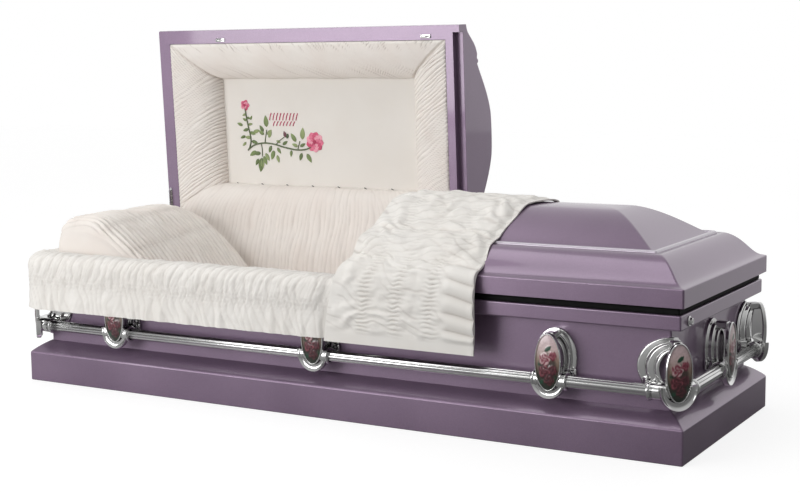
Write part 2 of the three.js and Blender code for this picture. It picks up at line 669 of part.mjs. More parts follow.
const sideFront = -BAR_OUT - BAR_RADIUS - 6;
const cornerFront = -(ELBOW_RADIUS - elbowMiddle + BAR_RADIUS + 5);
const arms = [
  ...[-1, 0, 1].map((k) => [`front_${k + 2}`, k * LUG_X, -WALL_Y, 0]),
  ['foot_end', WALL_X, 0, 90],
  ...[-1, 0, 1].map((k) => [`back_${k + 2}`, k * LUG_X, WALL_Y, 180]),
  ['head_end', -WALL_X, 0, 270],
  ['corner_foot_front', WALL_X, -WALL_Y, 45], ['corner_foot_back', WALL_X, WALL_Y, 135],
  ['corner_head_back', -WALL_X, WALL_Y, 225], ['corner_head_front', -WALL_X, -WALL_Y, 315],
];
for (const [name, x, y, turn] of arms) {
  const corner = turn % 90 !== 0;
  const holder = new THREE.Group();
  holder.position.set(x, y, 0);
  holder.rotation.z = THREE.MathUtils.degToRad(turn);
  place(holder, `arm_${name}`, corner ? cornerLug() : sideLug(), CHROME);
  place(holder, `medallion_${name}`, medallion(corner ? cornerFront : sideFront), ENAMEL);
  casket.add(holder);
}

place(headClosed, 'head_lid_shell', headLidShell, ORCHID);
place(headClosed, 'lid_panel', liningPanel(rollBound, ROLL_SIDE, ROLL_FRONT), CREPE);
place(headClosed, 'lid_roll_front', headRolls.front, CREPE);
place(headClosed, 'lid_roll_head', headRolls.left, CREPE);
place(headClosed, 'lid_roll_split', headRolls.right, CREPE);
place(headClosed, 'lid_roll_hinge', headRolls.back, CREPE);
KEEPER_X.forEach((x, k) => place(headClosed, `latch_keeper_${k + 1}`, keeper(x), CHROME));
place(headClosed, 'lid_stay', lidStay, CHROME);
place(headClosed, 'hinge_head_lid', hingeHalf(...hingeRun.head, false), CHROME);

place(casket, 'foot_lid_shell', footLidShell, ORCHID);
place(casket, 'foot_lid_lining', footLining, CREPE);
place(casket, 'throw_cloth', throwCloth(), CREPE);
place(casket, 'hinge_foot_lid', hingeHalf(...hingeRun.foot, false), CHROME);

export default casket;
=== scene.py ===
"""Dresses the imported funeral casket: painted steel, chrome bar hardware and a shirred crepe interior."""
import logging
import math
from collections.abc import Sequence
from dataclasses import dataclass, field
from enum import Enum

import bpy
import numpy as np
from mathutils import Matrix, Vector


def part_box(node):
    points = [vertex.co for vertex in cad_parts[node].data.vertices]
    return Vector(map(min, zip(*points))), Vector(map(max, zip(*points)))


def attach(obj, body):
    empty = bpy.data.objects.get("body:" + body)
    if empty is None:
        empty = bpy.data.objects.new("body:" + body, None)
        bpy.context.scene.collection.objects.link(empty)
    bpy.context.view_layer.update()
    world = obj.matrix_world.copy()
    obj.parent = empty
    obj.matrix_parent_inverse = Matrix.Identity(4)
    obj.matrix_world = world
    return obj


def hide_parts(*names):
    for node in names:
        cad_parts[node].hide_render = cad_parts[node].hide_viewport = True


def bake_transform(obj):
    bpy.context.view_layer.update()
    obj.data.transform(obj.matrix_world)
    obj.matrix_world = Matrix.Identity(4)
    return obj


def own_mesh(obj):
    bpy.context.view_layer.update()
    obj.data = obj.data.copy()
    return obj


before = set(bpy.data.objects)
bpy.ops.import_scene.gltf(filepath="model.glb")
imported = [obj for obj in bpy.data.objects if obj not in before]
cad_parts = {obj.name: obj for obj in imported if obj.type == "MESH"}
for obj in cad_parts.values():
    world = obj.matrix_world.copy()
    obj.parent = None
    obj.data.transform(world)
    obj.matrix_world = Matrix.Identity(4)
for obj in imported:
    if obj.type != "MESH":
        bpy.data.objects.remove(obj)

Array = np.ndarray
Point2 = tuple[float, float]
LOG = logging.getLogger("casket")
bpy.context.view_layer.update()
MM = 0.001


class Body(str, Enum):
    """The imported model's moving bodies."""

    BOX = "body"
    HEAD_LID = "head_lid"
    FOOT_LID = "foot_lid"


class Slot(str, Enum):
    """The record's material slots."""

    PAINT = "orchid_paint"
    CHROME = "chrome"
    RUBBER = "seal_rubber"
    PINK_CREPE = "pink_crepe"
    WHITE_CREPE = "white_crepe"
    ENAMEL = "medallion_enamel"


class RowShape(Enum):
    """What is repeated along a row."""

    SCREW = "screw"
    TUCK = "tuck"


@dataclass(frozen=True)
class Layout:
    """Sizes of the casket in millimetres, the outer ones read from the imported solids."""

    half_l: float
    half_w: float
    base_top: float
    rail_low: float
    rail_top: float
    lid_low: float
    wall_inset: float = 50.0
    sheet: float = 1.5
    split_x: float = 107.0
    hinge_drop: float = 0.7
    open_deg: float = 87.0
    bed_top: float = 236.0
    panel_depth: float = 90.0
    flange_inner: float = 49.0

    @classmethod
    def from_frame(cls) -> "Layout":
        """Reads the base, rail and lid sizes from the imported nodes."""
        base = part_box("base_moulding")[1] / MM
        rail = [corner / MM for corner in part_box("body_rail")]
        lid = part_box("foot_lid_shell")[0] / MM
        return cls(base.x, base.y, base.z, rail[0].z, rail[1].z, lid.z)

    @property
    def wall_x(self) -> float:
        """Outer face of the end walls."""
        return self.half_l - self.wall_inset

    @property
    def wall_y(self) -> float:
        """Outer face of the side walls."""
        return self.half_w - self.wall_inset

    def opened(self, points: Array) -> Array:
        """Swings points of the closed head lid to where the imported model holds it.

        Args:
            points: Points of the closed lid, in millimetres, with x, y, z last.

        Returns:
            The same points on the open lid.
        """
        turn = math.radians(self.open_deg)
        axis = np.array([0.0, self.half_w, self.lid_low - self.hinge_drop])
        local = points - axis
        y = local[..., 1] * math.cos(turn) + local[..., 2] * math.sin(turn)
        z = -local[..., 1] * math.sin(turn) + local[..., 2] * math.cos(turn)
        return np.stack([local[..., 0], y, z], axis=-1) + axis


LAYOUT = Layout.from_frame()


def smoothstep(low: float, high: float, x: Array) -> Array:
    """Rises from 0 at low to 1 at high with level ends."""
    t = np.clip((np.asarray(x, float) - low) / (high - low), 0.0, 1.0)
    return t * t * (3.0 - 2.0 * t)


def bump_at(centre: float, width: float, x: Array) -> Array:
    """A soft bell of height 1 at centre."""
    return np.exp(-(((np.asarray(x, float) - centre) / width) ** 2))


def bezier(start: Point2, first: Point2, second: Point2, end: Point2, steps: int) -> list[Point2]:
    """Points of a cubic curve, ends included."""
    found = []
    for k in range(steps + 1):
        t = k / steps
        weights = ((1 - t) ** 3, 3 * t * (1 - t) ** 2, 3 * t * t * (1 - t), t**3)
        place = sum(w * np.array(p, float) for w, p in zip(weights, (start, first, second, end)))
        found.append((float(place[0]), float(place[1])))
    return found


def fillet(points: Sequence[Point2], radius: float, steps: int = 3) -> list[Point2]:
    """Rounds the corners of a closed outline.

    Args:
        points: The outline's corners, in order.
        radius: Rounding radius, cut down where a side is too short for it.
        steps: Pieces of each rounding.

    Returns:
        The rounded outline.
    """
    found: list[Point2] = []
    corners = [np.array(p, float) for p in points]
    for k, corner in enumerate(corners):
        back = corners[k - 1] - corner
        ahead = corners[(k + 1) % len(corners)] - corner
        lengths = np.linalg.norm(back), np.linalg.norm(ahead)
        back, ahead = back / lengths[0], ahead / lengths[1]
        angle = math.acos(float(np.clip(back @ ahead, -1.0, 1.0)))
        if angle > math.radians(160):
            found.append((float(corner[0]), float(corner[1])))
            continue
        reach = min(radius / math.tan(angle / 2), 0.45 * min(lengths))
        for j in range(steps + 1):
            t = j / steps
            place = corner + back * reach * (1 - t) ** 2 + ahead * reach * t * t
            found.append((float(place[0]), float(place[1])))
    return found


def smooth_path(points: Sequence[Sequence[float]], count: int) -> Array:
    """Rounds a path by corner cutting and spaces its points evenly.

    Args:
        points: The path's corners, each of any number of values.
        count: Points wanted.

    Returns:
        count points from the first corner to the last.
    """
    path = np.array(points, float)
    for _ in range(3):
        cut = np.empty((2 * len(path), path.shape[1]))
        cut[0], cut[-1] = path[0], path[-1]
        cut[1:-1:2] = 0.75 * path[:-1] + 0.25 * path[1:]
        cut[2::2] = 0.25 * path[:-1] + 0.75 * path[1:]
        path = cut
    reach = np.concatenate([[0.0], np.cumsum(np.linalg.norm(np.diff(path, axis=0), axis=1))])
    wanted = np.linspace(0.0, reach[-1], count)
    return np.stack([np.interp(wanted, reach, path[:, k]) for k in range(path.shape[1])], axis=1)


def lengths_along(path: Array) -> Array:
    """Distance of each point of a path from its start."""
    return np.concatenate([[0.0], np.cumsum(np.linalg.norm(np.diff(path, axis=0), axis=1))])


class Noise:
    """Smooth value noise on a fixed lattice."""

    SIZE = 256

    def __init__(self, seed: int) -> None:
        self.table = np.random.default_rng(seed).uniform(-1.0, 1.0, (self.SIZE, self.SIZE))

    def at(self, x: Array, y: Array) -> Array:
        """Noise from -1 to 1, with features about one unit wide."""
        x, y = np.broadcast_arrays(np.asarray(x, float), np.asarray(y, float))
        i, j = np.floor(x).astype(int), np.floor(y).astype(int)
        fx, fy = x - i, y - j
        fx, fy = fx * fx * (3 - 2 * fx), fy * fy * (3 - 2 * fy)
        pick = lambda a, b: self.table[a % self.SIZE, b % self.SIZE]
        low = pick(i, j) * (1 - fx) + pick(i + 1, j) * fx
        high = pick(i, j + 1) * (1 - fx) + pick(i + 1, j + 1) * fx
        return low * (1 - fy) + high * fy

    def cloud(self, x: Array, y: Array, octaves: int = 3) -> Array:
        """Several layers of noise, each finer and weaker."""
        return sum(self.at(x * 2**k + 7 * k, y * 2**k + 3 * k) * 0.5**k for k in range(octaves))

    def puffs(self, across: Array, along: Array, pitch: float, reach: float, wander: float = 0.5) -> Array:
        """Rounded gathers between fine creases.

        Args:
            across: Distance in the direction in which the gathers repeat.
            along: Distance along the creases.
            pitch: Mean spacing of the creases.
            reach: Length over which a crease wanders.
            wander: How far a crease wanders, in pitches.

        Returns:
            0 in a crease and 1 on a puff.
        """
        drift = wander * self.at(across / (3 * pitch), along / reach)
        drift = drift + 0.35 * wander * self.at(across / pitch + 31, 2.3 * along / reach)
        return np.abs(np.sin(np.pi * (across / pitch + drift))) ** 0.75

    def creases(self, across: Array, along: Array, pitch: float, reach: float,
                depth: float = 0.18) -> Array:
        """Sparse fine creases that come and go.

        Args:
            across: Distance in the direction in which the creases repeat.
            along: Distance along the creases.
            pitch: Mean spacing of the creases.
            reach: Length of a crease.
            depth: Half width of a crease, in pitches.

        Returns:
            1 in the deepest crease and 0 away from any.
        """
        drift = 0.9 * self.at(across / (2 * pitch) + 11, along / reach)
        gap = np.abs((across / pitch + drift) % 1.0 - 0.5) * 2.0
        here = smoothstep(-0.25, 0.55, self.at(across / pitch + 5, along / reach + 9))
        return (1.0 - smoothstep(0.0, 2 * depth, gap)) * here


def grid_quads(rows: int, cols: int, wrap_rows: bool = False, wrap_cols: bool = False) -> Array:
    """Faces of a grid of points, stored row by row."""
    r = np.arange(rows if wrap_rows else rows - 1)[:, None]
    c = np.arange(cols if wrap_cols else cols - 1)[None, :]
    r2, c2 = (r + 1) % rows, (c + 1) % cols
    corners = (r * cols + c, r * cols + c2, r2 * cols + c2, r2 * cols + c)
    return np.stack(np.broadcast_arrays(*corners), axis=-1).reshape(-1, 4)


def grid_normals(points: Array) -> Array:
    """Unit normals of a grid surface, by the order of its rows and columns."""
    normal = np.cross(np.gradient(points, axis=0), np.gradient(points, axis=1))
    return normal / np.maximum(np.linalg.norm(normal, axis=-1, keepdims=True), 1e-9)


class Shells:
    """Closed shells in millimetres gathered into one mesh, each with its faces turned outwards."""

    def __init__(self) -> None:
        self.points: list[Array] = []
        self.quads: list[Array] = []
        self.caps: list[list[int]] = []
        self.colours: list[Array] = []
        self.count = 0

    def add(self, points: Array, quads: Array, caps: Sequence[Sequence[int]] = (),
            colour: Array | None = None, closed: bool = True) -> "Shells":
        """Adds a shell.

        Args:
            points: Its points, with x, y, z last.
            quads: Its four-sided faces.
            caps: Its other faces.
            colour: A colour for each point; on crepe pieces, the depth of painted crease shade.
            closed: Whether its faces are turned by the volume that they enclose.

        Returns:
            This collection.
        """
        flat = points.reshape(-1, 3)
        if closed and self._volume(flat, quads, caps) < 0:
            quads = quads[:, ::-1]
            caps = [list(cap)[::-1] for cap in caps]
        self.points.append(flat)
        self.quads.append(quads + self.count)
        self.caps += [[k + self.count for k in cap] for cap in caps]
        if colour is not None:
            self.colours.append(np.broadcast_to(colour, points.shape).reshape(-1, 3))
        self.count += len(flat)
        return self

    @staticmethod
    def _volume(points: Array, quads: Array, caps: Sequence[Sequence[int]]) -> float:
        """Six times the volume that the faces enclose."""
        a, b, c, d = (points[quads[:, k]] for k in range(4))
        total = np.einsum("ij,ij->", a, np.cross(b, c)) + np.einsum("ij,ij->", a, np.cross(c, d))
        for cap in caps:
            ring = points[list(cap)]
            hub = np.broadcast_to(ring[0], ring[2:].shape)
            total += np.einsum("ij,ij->", hub, np.cross(ring[1:-1], ring[2:]))
        return float(total)

    def loft(self, rings: Array, wrap: bool = False, colour: Array | None = None) -> "Shells":
        """Joins closed rings in order, with the first and last capped or joined to each other."""
        rows, cols = rings.shape[:2]
        caps = [] if wrap else [list(range(cols))[::-1], list(range((rows - 1) * cols, rows * cols))]
        return self.add(rings, grid_quads(rows, cols, wrap, True), caps, colour)

    def cloth(self, base: Array, height: Array, thick: float, side: float = 1.0,
              colour: Array | None = None) -> "Shells":
        """Adds a sheet: its face stands off a smooth base by height, and its back is thick behind the base.

        Args:
            base: Grid of points.
            height: How far the face stands off each of them.
            thick: Distance of the back from the base.
            side: 1 or -1, for the way that the face looks.
            colour: A colour for each point of the face; on crepe pieces, the depth of painted crease shade.

        Returns:
            This collection.
        """
        normal = side * grid_normals(base)
        face = base + normal * height[..., None]
        back = base - normal * thick
        rows, cols = base.shape[:2]
        quads = grid_quads(rows, cols)
        edge = np.concatenate([
            np.arange(cols - 1), (np.arange(rows - 1) + 1) * cols - 1,
            rows * cols - 1 - np.arange(cols - 1), (rows - 1 - np.arange(rows - 1)) * cols,
        ])
        ahead = np.roll(edge, -1)
        total = rows * cols
        rim = np.stack([ahead, edge, edge + total, ahead + total], axis=-1)
        both = None
        if colour is not None:
            both = np.concatenate([np.broadcast_to(colour, face.shape).reshape(-1, 3)] * 2)
        every = np.concatenate([face.reshape(-1, 3), back.reshape(-1, 3)])
        return self.add(every, np.concatenate([quads, quads[:, ::-1] + total, rim]), (), both)

    def moved(self, matrix: Matrix) -> "Shells":
        """A copy of these shells, placed by a matrix in millimetres."""
        turn = np.array(matrix.to_3x3())
        shift = np.array(matrix.to_translation())
        copy = Shells()
        copy.points = [points @ turn.T + shift for points in self.points]
        copy.quads, copy.caps = list(self.quads), list(self.caps)
        copy.colours, copy.count = list(self.colours), self.count
        return copy

    def build(self, name: str, smooth_deg: float = 40.0) -> bpy.types.Object:
        """Makes the mesh object, in metres, with its place in its mesh.

        Args:
            name: The object's name.
            smooth_deg: Edges sharper than this stay sharp.

        Returns:
            The object, linked to the scene.
        """
        mesh = bpy.data.meshes.new(name)
        quads = np.concatenate(self.quads).tolist() if self.quads else []
        mesh.from_pydata((np.concatenate(self.points) * MM).tolist(), [], quads + self.caps)
        if self.colours:
            # The tint holds thread and enamel colours, and on crepe pieces the depth of painted crease
            # shade.
            tint = mesh.attributes.new("tint", "FLOAT_COLOR", "POINT")
            rgba = np.concatenate([np.concatenate(self.colours), np.ones((self.count, 1))], axis=1)
            tint.data.foreach_set("color", rgba.astype(np.float32).ravel())
        mesh.polygons.foreach_set("use_smooth", np.ones(len(mesh.polygons), bool))
        mesh.set_sharp_from_angle(angle=math.radians(smooth_deg))
        mesh.update()
        made = bpy.data.objects.new(name, mesh)
        bpy.context.scene.collection.objects.link(made)
        return made


def settled(made: bpy.types.Object) -> bpy.types.Object:
    """Turns an object's live modifiers into plain mesh."""
    graph = bpy.context.evaluated_depsgraph_get()
    graph.update()
    mesh = bpy.data.meshes.new_from_object(made.evaluated_get(graph))
    made.modifiers.clear()
    made.data = mesh
    return made


def even_shading(made: bpy.types.Object) -> bpy.types.Object:
    """Keeps broad faces flat beside their roundings."""
    weighted = made.modifiers.new("even_shading", "WEIGHTED_NORMAL")
    weighted.weight = 100
    weighted.keep_sharp = True
    return settled(made)


def combined(made: bpy.types.Object, tools: Sequence[tuple[bpy.types.Object, str]]) -> bpy.types.Object:
    """Cuts or joins an object with others, which are used up.

    Args:
        made: The object that is changed.
        tools: Other objects, each with DIFFERENCE or UNION.

    Returns:
        The changed object.
    """
    for tool, operation in tools:
        cut = made.modifiers.new(operation.lower(), "BOOLEAN")
        cut.object, cut.operation, cut.solver = tool, operation, "MANIFOLD"
        settled(made)
        bpy.data.objects.remove(tool, do_unlink=True)
    return made


def box_shell(low: Sequence[float], high: Sequence[float], bevel: float = 0.0) -> Shells:
    """A block with its long edges rounded.

    Args:
        low: Lowest corner.
        high: Highest corner.
        bevel: Rounding of the edges that run along z, and of the top and bottom edges.

    Returns:
        The block as shells.
    """
    outline = [(low[0], low[1]), (high[0], low[1]), (high[0], high[1]), (low[0], high[1])]
    if bevel <= 0:
        return Shells().loft(np.array([[(x, y, z) for x, y in outline] for z in (low[2], high[2])]))
    middle = (np.array(low) + np.array(high)) / 2
    rounded = np.array(fillet(outline, bevel, 3))
    rings = []
    for turn, z, sign in [(t, low[2], 1) for t in (0, 1, 2)] + [(t, high[2], -1) for t in (2, 1, 0)]:
        angle = turn * math.pi / 4
        drawn = bevel * (1 - math.sin(angle))
        size = (np.array(high) - np.array(low))[:2] / 2
        scale = 1 - drawn / size
        ring = middle[:2] + (rounded - middle[:2]) * scale
        rings.append(np.column_stack([ring, np.full(len(ring), z + sign * bevel * (1 - math.cos(angle)))]))
    return Shells().loft(np.array(rings))


def tube_shell(path: Array, radius: float, sides: int = 12) -> Shells:
    """A round tube along a path of points, capped at both ends."""
    tangent = np.gradient(path, axis=0)
    tangent /= np.linalg.norm(tangent, axis=1, keepdims=True)
    up = np.array([0.0, 0.0, 1.0]) if abs(tangent[0, 2]) < 0.9 else np.array([1.0, 0.0, 0.0])
    rings = []
    for place, ahead in zip(path, tangent):
        side = np.cross(ahead, up)
        side /= np.linalg.norm(side)
        up = np.cross(side, ahead)
        turn = 2 * np.pi * np.arange(sides) / sides
        rings.append(place + radius * (np.cos(turn)[:, None] * side + np.sin(turn)[:, None] * up))
    return Shells().loft(np.array(rings))


class Wire:
    """A shader socket that takes part in Python expressions."""

    def __init__(self, tree: "ShaderTree", socket: bpy.types.NodeSocket) -> None:
        self.tree = tree
        self.socket = socket

    def _math(self, operation: str, *values: "Wire | float") -> "Wire":
        """Adds a Math node."""
        return self.tree.node("ShaderNodeMath", {"operation": operation}, dict(enumerate(values)))

    def __add__(self, other: "Wire | float") -> "Wire":
        """Sum."""
        return self._math("ADD", self, other)

    __radd__ = __add__

    def __sub__(self, other: "Wire | float") -> "Wire":
        """Difference."""
        return self._math("SUBTRACT", self, other)

    def __rsub__(self, other: float) -> "Wire":
        """Difference from a number."""
        return self._math("SUBTRACT", other, self)

    def __mul__(self, other: "Wire | float") -> "Wire":
        """Product."""
        return self._math("MULTIPLY", self, other)

    __rmul__ = __mul__

    def between(self, low: float, high: float) -> "Wire":
        """Rises from 0 at low to 1 at high."""
        return self.tree.node("ShaderNodeMapRange", {"interpolation_type": "SMOOTHSTEP"},
                              {"Value": self, "From Min": low, "From Max": high})


class ShaderTree:
    """The nodes of a material, or of the surroundings, added by one method."""

    def __init__(self, name: str, surroundings: bool = False) -> None:
        self.owner = bpy.data.worlds.new(name) if surroundings else bpy.data.materials.new(name)
        self.owner.use_nodes = True
        self.nodes = self.owner.node_tree.nodes
        self.links = self.owner.node_tree.links
        self.nodes.clear()

    def node(self, kind: str, settings: dict | None = None, inputs: dict | None = None,
             output: int | str = 0) -> Wire:
        """Adds a node.

        Args:
            kind: The node's type.
            settings: Its properties, set first; stops are a ramp's positions and colours.
            inputs: Values or wires for its sockets, by name or number.
            output: The socket that is handed back.

        Returns:
            The chosen output.
        """
        made = self.nodes.new(kind)
        for key, value in (settings or {}).items():
            if key == "stops":
                self._stops(made.color_ramp, value)
            else:
                setattr(made, key, value)
        for key, value in (inputs or {}).items():
            if isinstance(value, Wire):
                self.links.new(value.socket, made.inputs[key])
            else:
                made.inputs[key].default_value = value
        return Wire(self, made.outputs[output])

    @staticmethod
    def _stops(ramp: bpy.types.ColorRamp, stops: Sequence[tuple[float, Sequence[float]]]) -> None:
        """Sets a ramp's positions and colours."""
        while len(ramp.elements) < len(stops):
            ramp.elements.new(0.5)
        for element, (place, colour) in zip(ramp.elements, stops):
            element.position = place
            element.color = (*colour, 1.0)

    def mix(self, share: Wire | float, low: Wire | Sequence[float], high: Wire | Sequence[float],
            way: str = "MIX") -> Wire:
        """Mixes two colours by a share from 0 to 1."""
        colours = [c if isinstance(c, Wire) else (*c, 1.0) for c in (low, high)]
        return self.node("ShaderNodeMix", {"data_type": "RGBA", "blend_type": way},
                         {0: share, 6: colours[0], 7: colours[1]}, 2)

    def place(self) -> Wire:
        """Object coordinates."""
        return self.node("ShaderNodeTexCoord", None, None, "Object")

    def noise(self, scale: float, detail: float = 2.0, at: Wire | None = None) -> Wire:
        """Noise of so many features to the metre."""
        return self.node("ShaderNodeTexNoise", None,
                         {"Vector": at or self.place(), "Scale": scale, "Detail": detail}, "Fac")

    def bump(self, height: Wire, strength: float, distance: float) -> Wire:
        """A bump for the shader's Normal."""
        return self.node("ShaderNodeBump", None,
                         {"Height": height, "Strength": strength, "Distance": distance}, "Normal")

    def shader(self, inputs: dict) -> bpy.types.Material:
        """Adds the Principled shader and the output."""
        return self.shown(self.node("ShaderNodeBsdfPrincipled", None, inputs))

    def shown(self, shader: Wire) -> bpy.types.Material | bpy.types.World:
        """Links a shader to the output."""
        world = isinstance(self.owner, bpy.types.World)
        out = self.nodes.new("ShaderNodeOutputWorld" if world else "ShaderNodeOutputMaterial")
        self.links.new(shader.socket, out.inputs["Surface"])
        return self.owner

    def seen(self) -> Wire:
        """1 where the camera looks straight at it and 0 in reflections and bounced light."""
        return self.node("ShaderNodeLightPath", None, None, "Is Camera Ray")


def linear(red: float, green: float, blue: float) -> tuple[float, float, float]:
    """Turns screen values from 0 to 255 into linear light."""
    found = []
    for value in (red, green, blue):
        v = value / 255
        found.append(v / 12.92 if v <= 0.04045 else ((v + 0.055) / 1.055) ** 2.4)
    return found[0], found[1], found[2]


@dataclass(frozen=True)
class Paint:
    """Metallic enamel under clear coat, with fine flake and a faint orange peel."""

    name: str
    deep: tuple[float, float, float]
    light: tuple[float, float, float]
    metallic: float = 0.5
    roughness: float = 0.33

    def material(self) -> bpy.types.Material:
        """Builds the finish."""
        tree = ShaderTree(self.name)
        flake = tree.node("ShaderNodeTexVoronoi", None, {"Vector": tree.place(), "Scale": 1500.0}, "Color")
        grain = tree.node("ShaderNodeSeparateColor", None, {0: flake}, 0)
        drift = tree.noise(3.2, 2.0)
        share = drift * 0.55 + grain * 0.3
        colour = tree.mix(share, self.deep, self.light)
        peel = tree.noise(260.0, 1.0)
        return tree.shader({
            "Base Color": colour, "Metallic": self.metallic,
            "Roughness": self.roughness + 0.1 * (drift - 0.5) + 0.06 * grain,
            "Coat Weight": 0.7, "Coat Roughness": 0.05,
            "Normal": tree.bump(peel, 0.03, 0.0003),
        })


@dataclass(frozen=True)
class Chrome:
    """Bright plating with faint handling marks."""

    name: str
    colour: tuple[float, float, float]
    roughness: float

    def material(self) -> bpy.types.Material:
        """Builds the finish."""
        tree = ShaderTree(self.name)
        marks = tree.noise(90.0, 4.0)
        cloud = tree.noise(14.0, 2.0)
        shade = tree.mix(cloud.between(0.3, 0.75), [0.92 * c for c in self.colour], self.colour)
        return tree.shader({
            "Base Color": shade, "Metallic": 1.0,
            "Roughness": self.roughness + 0.06 * marks.between(0.45, 0.8),
            "Normal": tree.bump(tree.noise(40.0, 1.0), 0.012, 0.0004),
        })


@dataclass(frozen=True)
class Crepe:
    """Crinkled crepe with a fine weave, a little sheen, uneven dye and painted shade in its crinkles.

    Its tint attribute, 0 where there is none, is how deep in a crease a point lies; it darkens the colour
    towards crease, a painted shade in creases, pinches and seams.
    """

    name: str
    colour: tuple[float, float, float]
    dye_and_crinkle_shade: tuple[float, float, float]
    grain: float = 620.0
    sheen: float = 0.25
    # The colour that creases are darkened towards: painted crease shade.
    crease: tuple[float, float, float] = (0.50, 0.45, 0.43)

    def material(self) -> bpy.types.Material:
        """Builds the finish."""
        tree = ShaderTree(self.name)
        crinkle = tree.noise(self.grain, 3.0)
        weave = tree.noise(2600.0, 0.0)
        dye = tree.noise(9.0, 3.0)
        # The darker tone is partly random dye and partly painted shade: the crinkle noise, which also
        # raises the bump, darkens its hollows.
        dyed = tree.mix(dye.between(0.25, 0.7) * 0.7 + crinkle * 0.3, self.dye_and_crinkle_shade, self.colour)
        # Painted shade: the tint's crease depth darkens the dyed colour towards the crease colour.
        depth = tree.node("ShaderNodeAttribute", {"attribute_name": "tint"}, None, "Fac")
        colour = tree.mix(depth * 0.75, dyed, self.crease, "MULTIPLY")
        height = crinkle + 0.35 * weave
        return tree.shader({
            "Base Color": colour, "Roughness": 0.82 + 0.12 * crinkle,
            "Specular IOR Level": 0.25, "Sheen Weight": self.sheen, "Sheen Roughness": 0.5,
            "Normal": tree.bump(height, 0.35, 0.0007),
        })


@dataclass(frozen=True)
class Rubber:
    """Dull black sealing rubber."""

    name: str
    colour: tuple[float, float, float]

    def material(self) -> bpy.types.Material:
        """Builds the finish."""
        tree = ShaderTree(self.name)
        bloom = tree.noise(40.0, 4.0)
        pores = tree.noise(900.0, 1.0)
        lighter = [2.6 * c for c in self.colour]
        return tree.shader({
            "Base Color": tree.mix(bloom.between(0.4, 0.8), self.colour, lighter),
            "Roughness": 0.62 + 0.25 * bloom, "Specular IOR Level": 0.15,
            "Normal": tree.bump(pores, 0.2, 0.0004),
        })


@dataclass(frozen=True)
class Tinted:
    """Enamel or thread that takes its colour from the piece's own tint."""

    name: str
    roughness: float
    coat: float
    grain: float
    relief: float

    def material(self) -> bpy.types.Material:
        """Builds the finish."""
        tree = ShaderTree(self.name)
        tint = tree.node("ShaderNodeAttribute", {"attribute_name": "tint"}, None, "Color")
        strands = tree.noise(self.grain, 2.0)
        colour = tree.mix(strands.between(0.2, 0.8) * 0.35, tint, (0.35, 0.3, 0.3), "MULTIPLY")
        return tree.shader({
            "Base Color": colour, "Roughness": self.roughness + 0.15 * strands,
            "Coat Weight": self.coat, "Coat Roughness": 0.12,
            "Normal": tree.bump(strands, self.relief, 0.0005),
        })


@dataclass(frozen=True)
class Ground:
    """Pale studio floor; in reflections and bounced light it shows painted shade, greyer in what the casket
    mirrors, most of all by its foot end.
    """

    name: str
    near: float = 0.46
    shaded: float = 0.2
    far: float = 0.75

    def material(self) -> bpy.types.Material:
        """Builds the finish."""
        tree = ShaderTree(self.name)
        cloud = tree.noise(0.8, 2.0)
        # Painted shade, seen only in reflections and bounced light: the floor greys towards the foot end
        # and pales behind the casket.
        right = tree.node("ShaderNodeSeparateXYZ", None, {0: tree.place()}, "X").between(-1.2, 1.3)
        behind = tree.node("ShaderNodeSeparateXYZ", None, {0: tree.place()}, "Y").between(0.5, 1.4)
        front = tree.mix(right, [self.near] * 3, [self.shaded] * 3)
        grey = {"Base Color": tree.mix(behind, front, [self.far] * 3), "Roughness": 0.9}
        pale = {"Base Color": tree.mix(cloud, (0.24, 0.24, 0.24), (0.26, 0.26, 0.26)), "Roughness": 0.9,
                "Emission Color": (1.0, 1.0, 1.0, 1.0), "Emission Strength": 0.8}
        unlit = tree.node("ShaderNodeBsdfPrincipled", None, grey)
        lit = tree.node("ShaderNodeBsdfPrincipled", None, pale)
        return tree.shown(tree.node("ShaderNodeMixShader", None, {0: tree.seen(), 1: unlit, 2: lit}))


class Finishes:
    """Every finish on the casket, made once."""

    def __init__(self) -> None:
        self.paint = Paint("orchid_paint", linear(104, 85, 107), linear(156, 134, 158)).material()
        # A paler copy of the paint for the bead's upward faces: a painted highlight along the bead.
        self.bead = Paint("bead_painted_highlight", linear(168, 158, 172), linear(214, 208, 216)).material()
        self.bar = Chrome("bar_chrome", (0.72, 0.72, 0.715), 0.2).material()
        self.chrome = Chrome("bright_chrome", (0.74, 0.74, 0.735), 0.085).material()
        self.steel = Chrome("hinge_steel", (0.62, 0.62, 0.63), 0.24).material()
        self.rubber = Rubber("seal_rubber", (0.004, 0.004, 0.004)).material()
        self.pink = Crepe("pink_crepe", linear(243, 238, 232), linear(238, 230, 223)).material()
        self.white = Crepe("white_crepe", linear(238, 235, 230), linear(232, 228, 222)).material()
        self.panel = Crepe("panel_crepe", linear(234, 230, 224), linear(231, 226, 219), 900.0).material()
        self.enamel = Tinted("medallion_enamel", 0.22, 0.7, 160.0, 0.08).material()
        self.thread = Tinted("satin_thread", 0.42, 0.0, 900.0, 0.5).material()
        # Near-black beads put in the skirt's tucks: a painted shadow.
        self.tuck_shadow = Rubber("shadowed_tuck", (0.05, 0.035, 0.035)).material()
        self.floor = Ground("studio_floor").material()


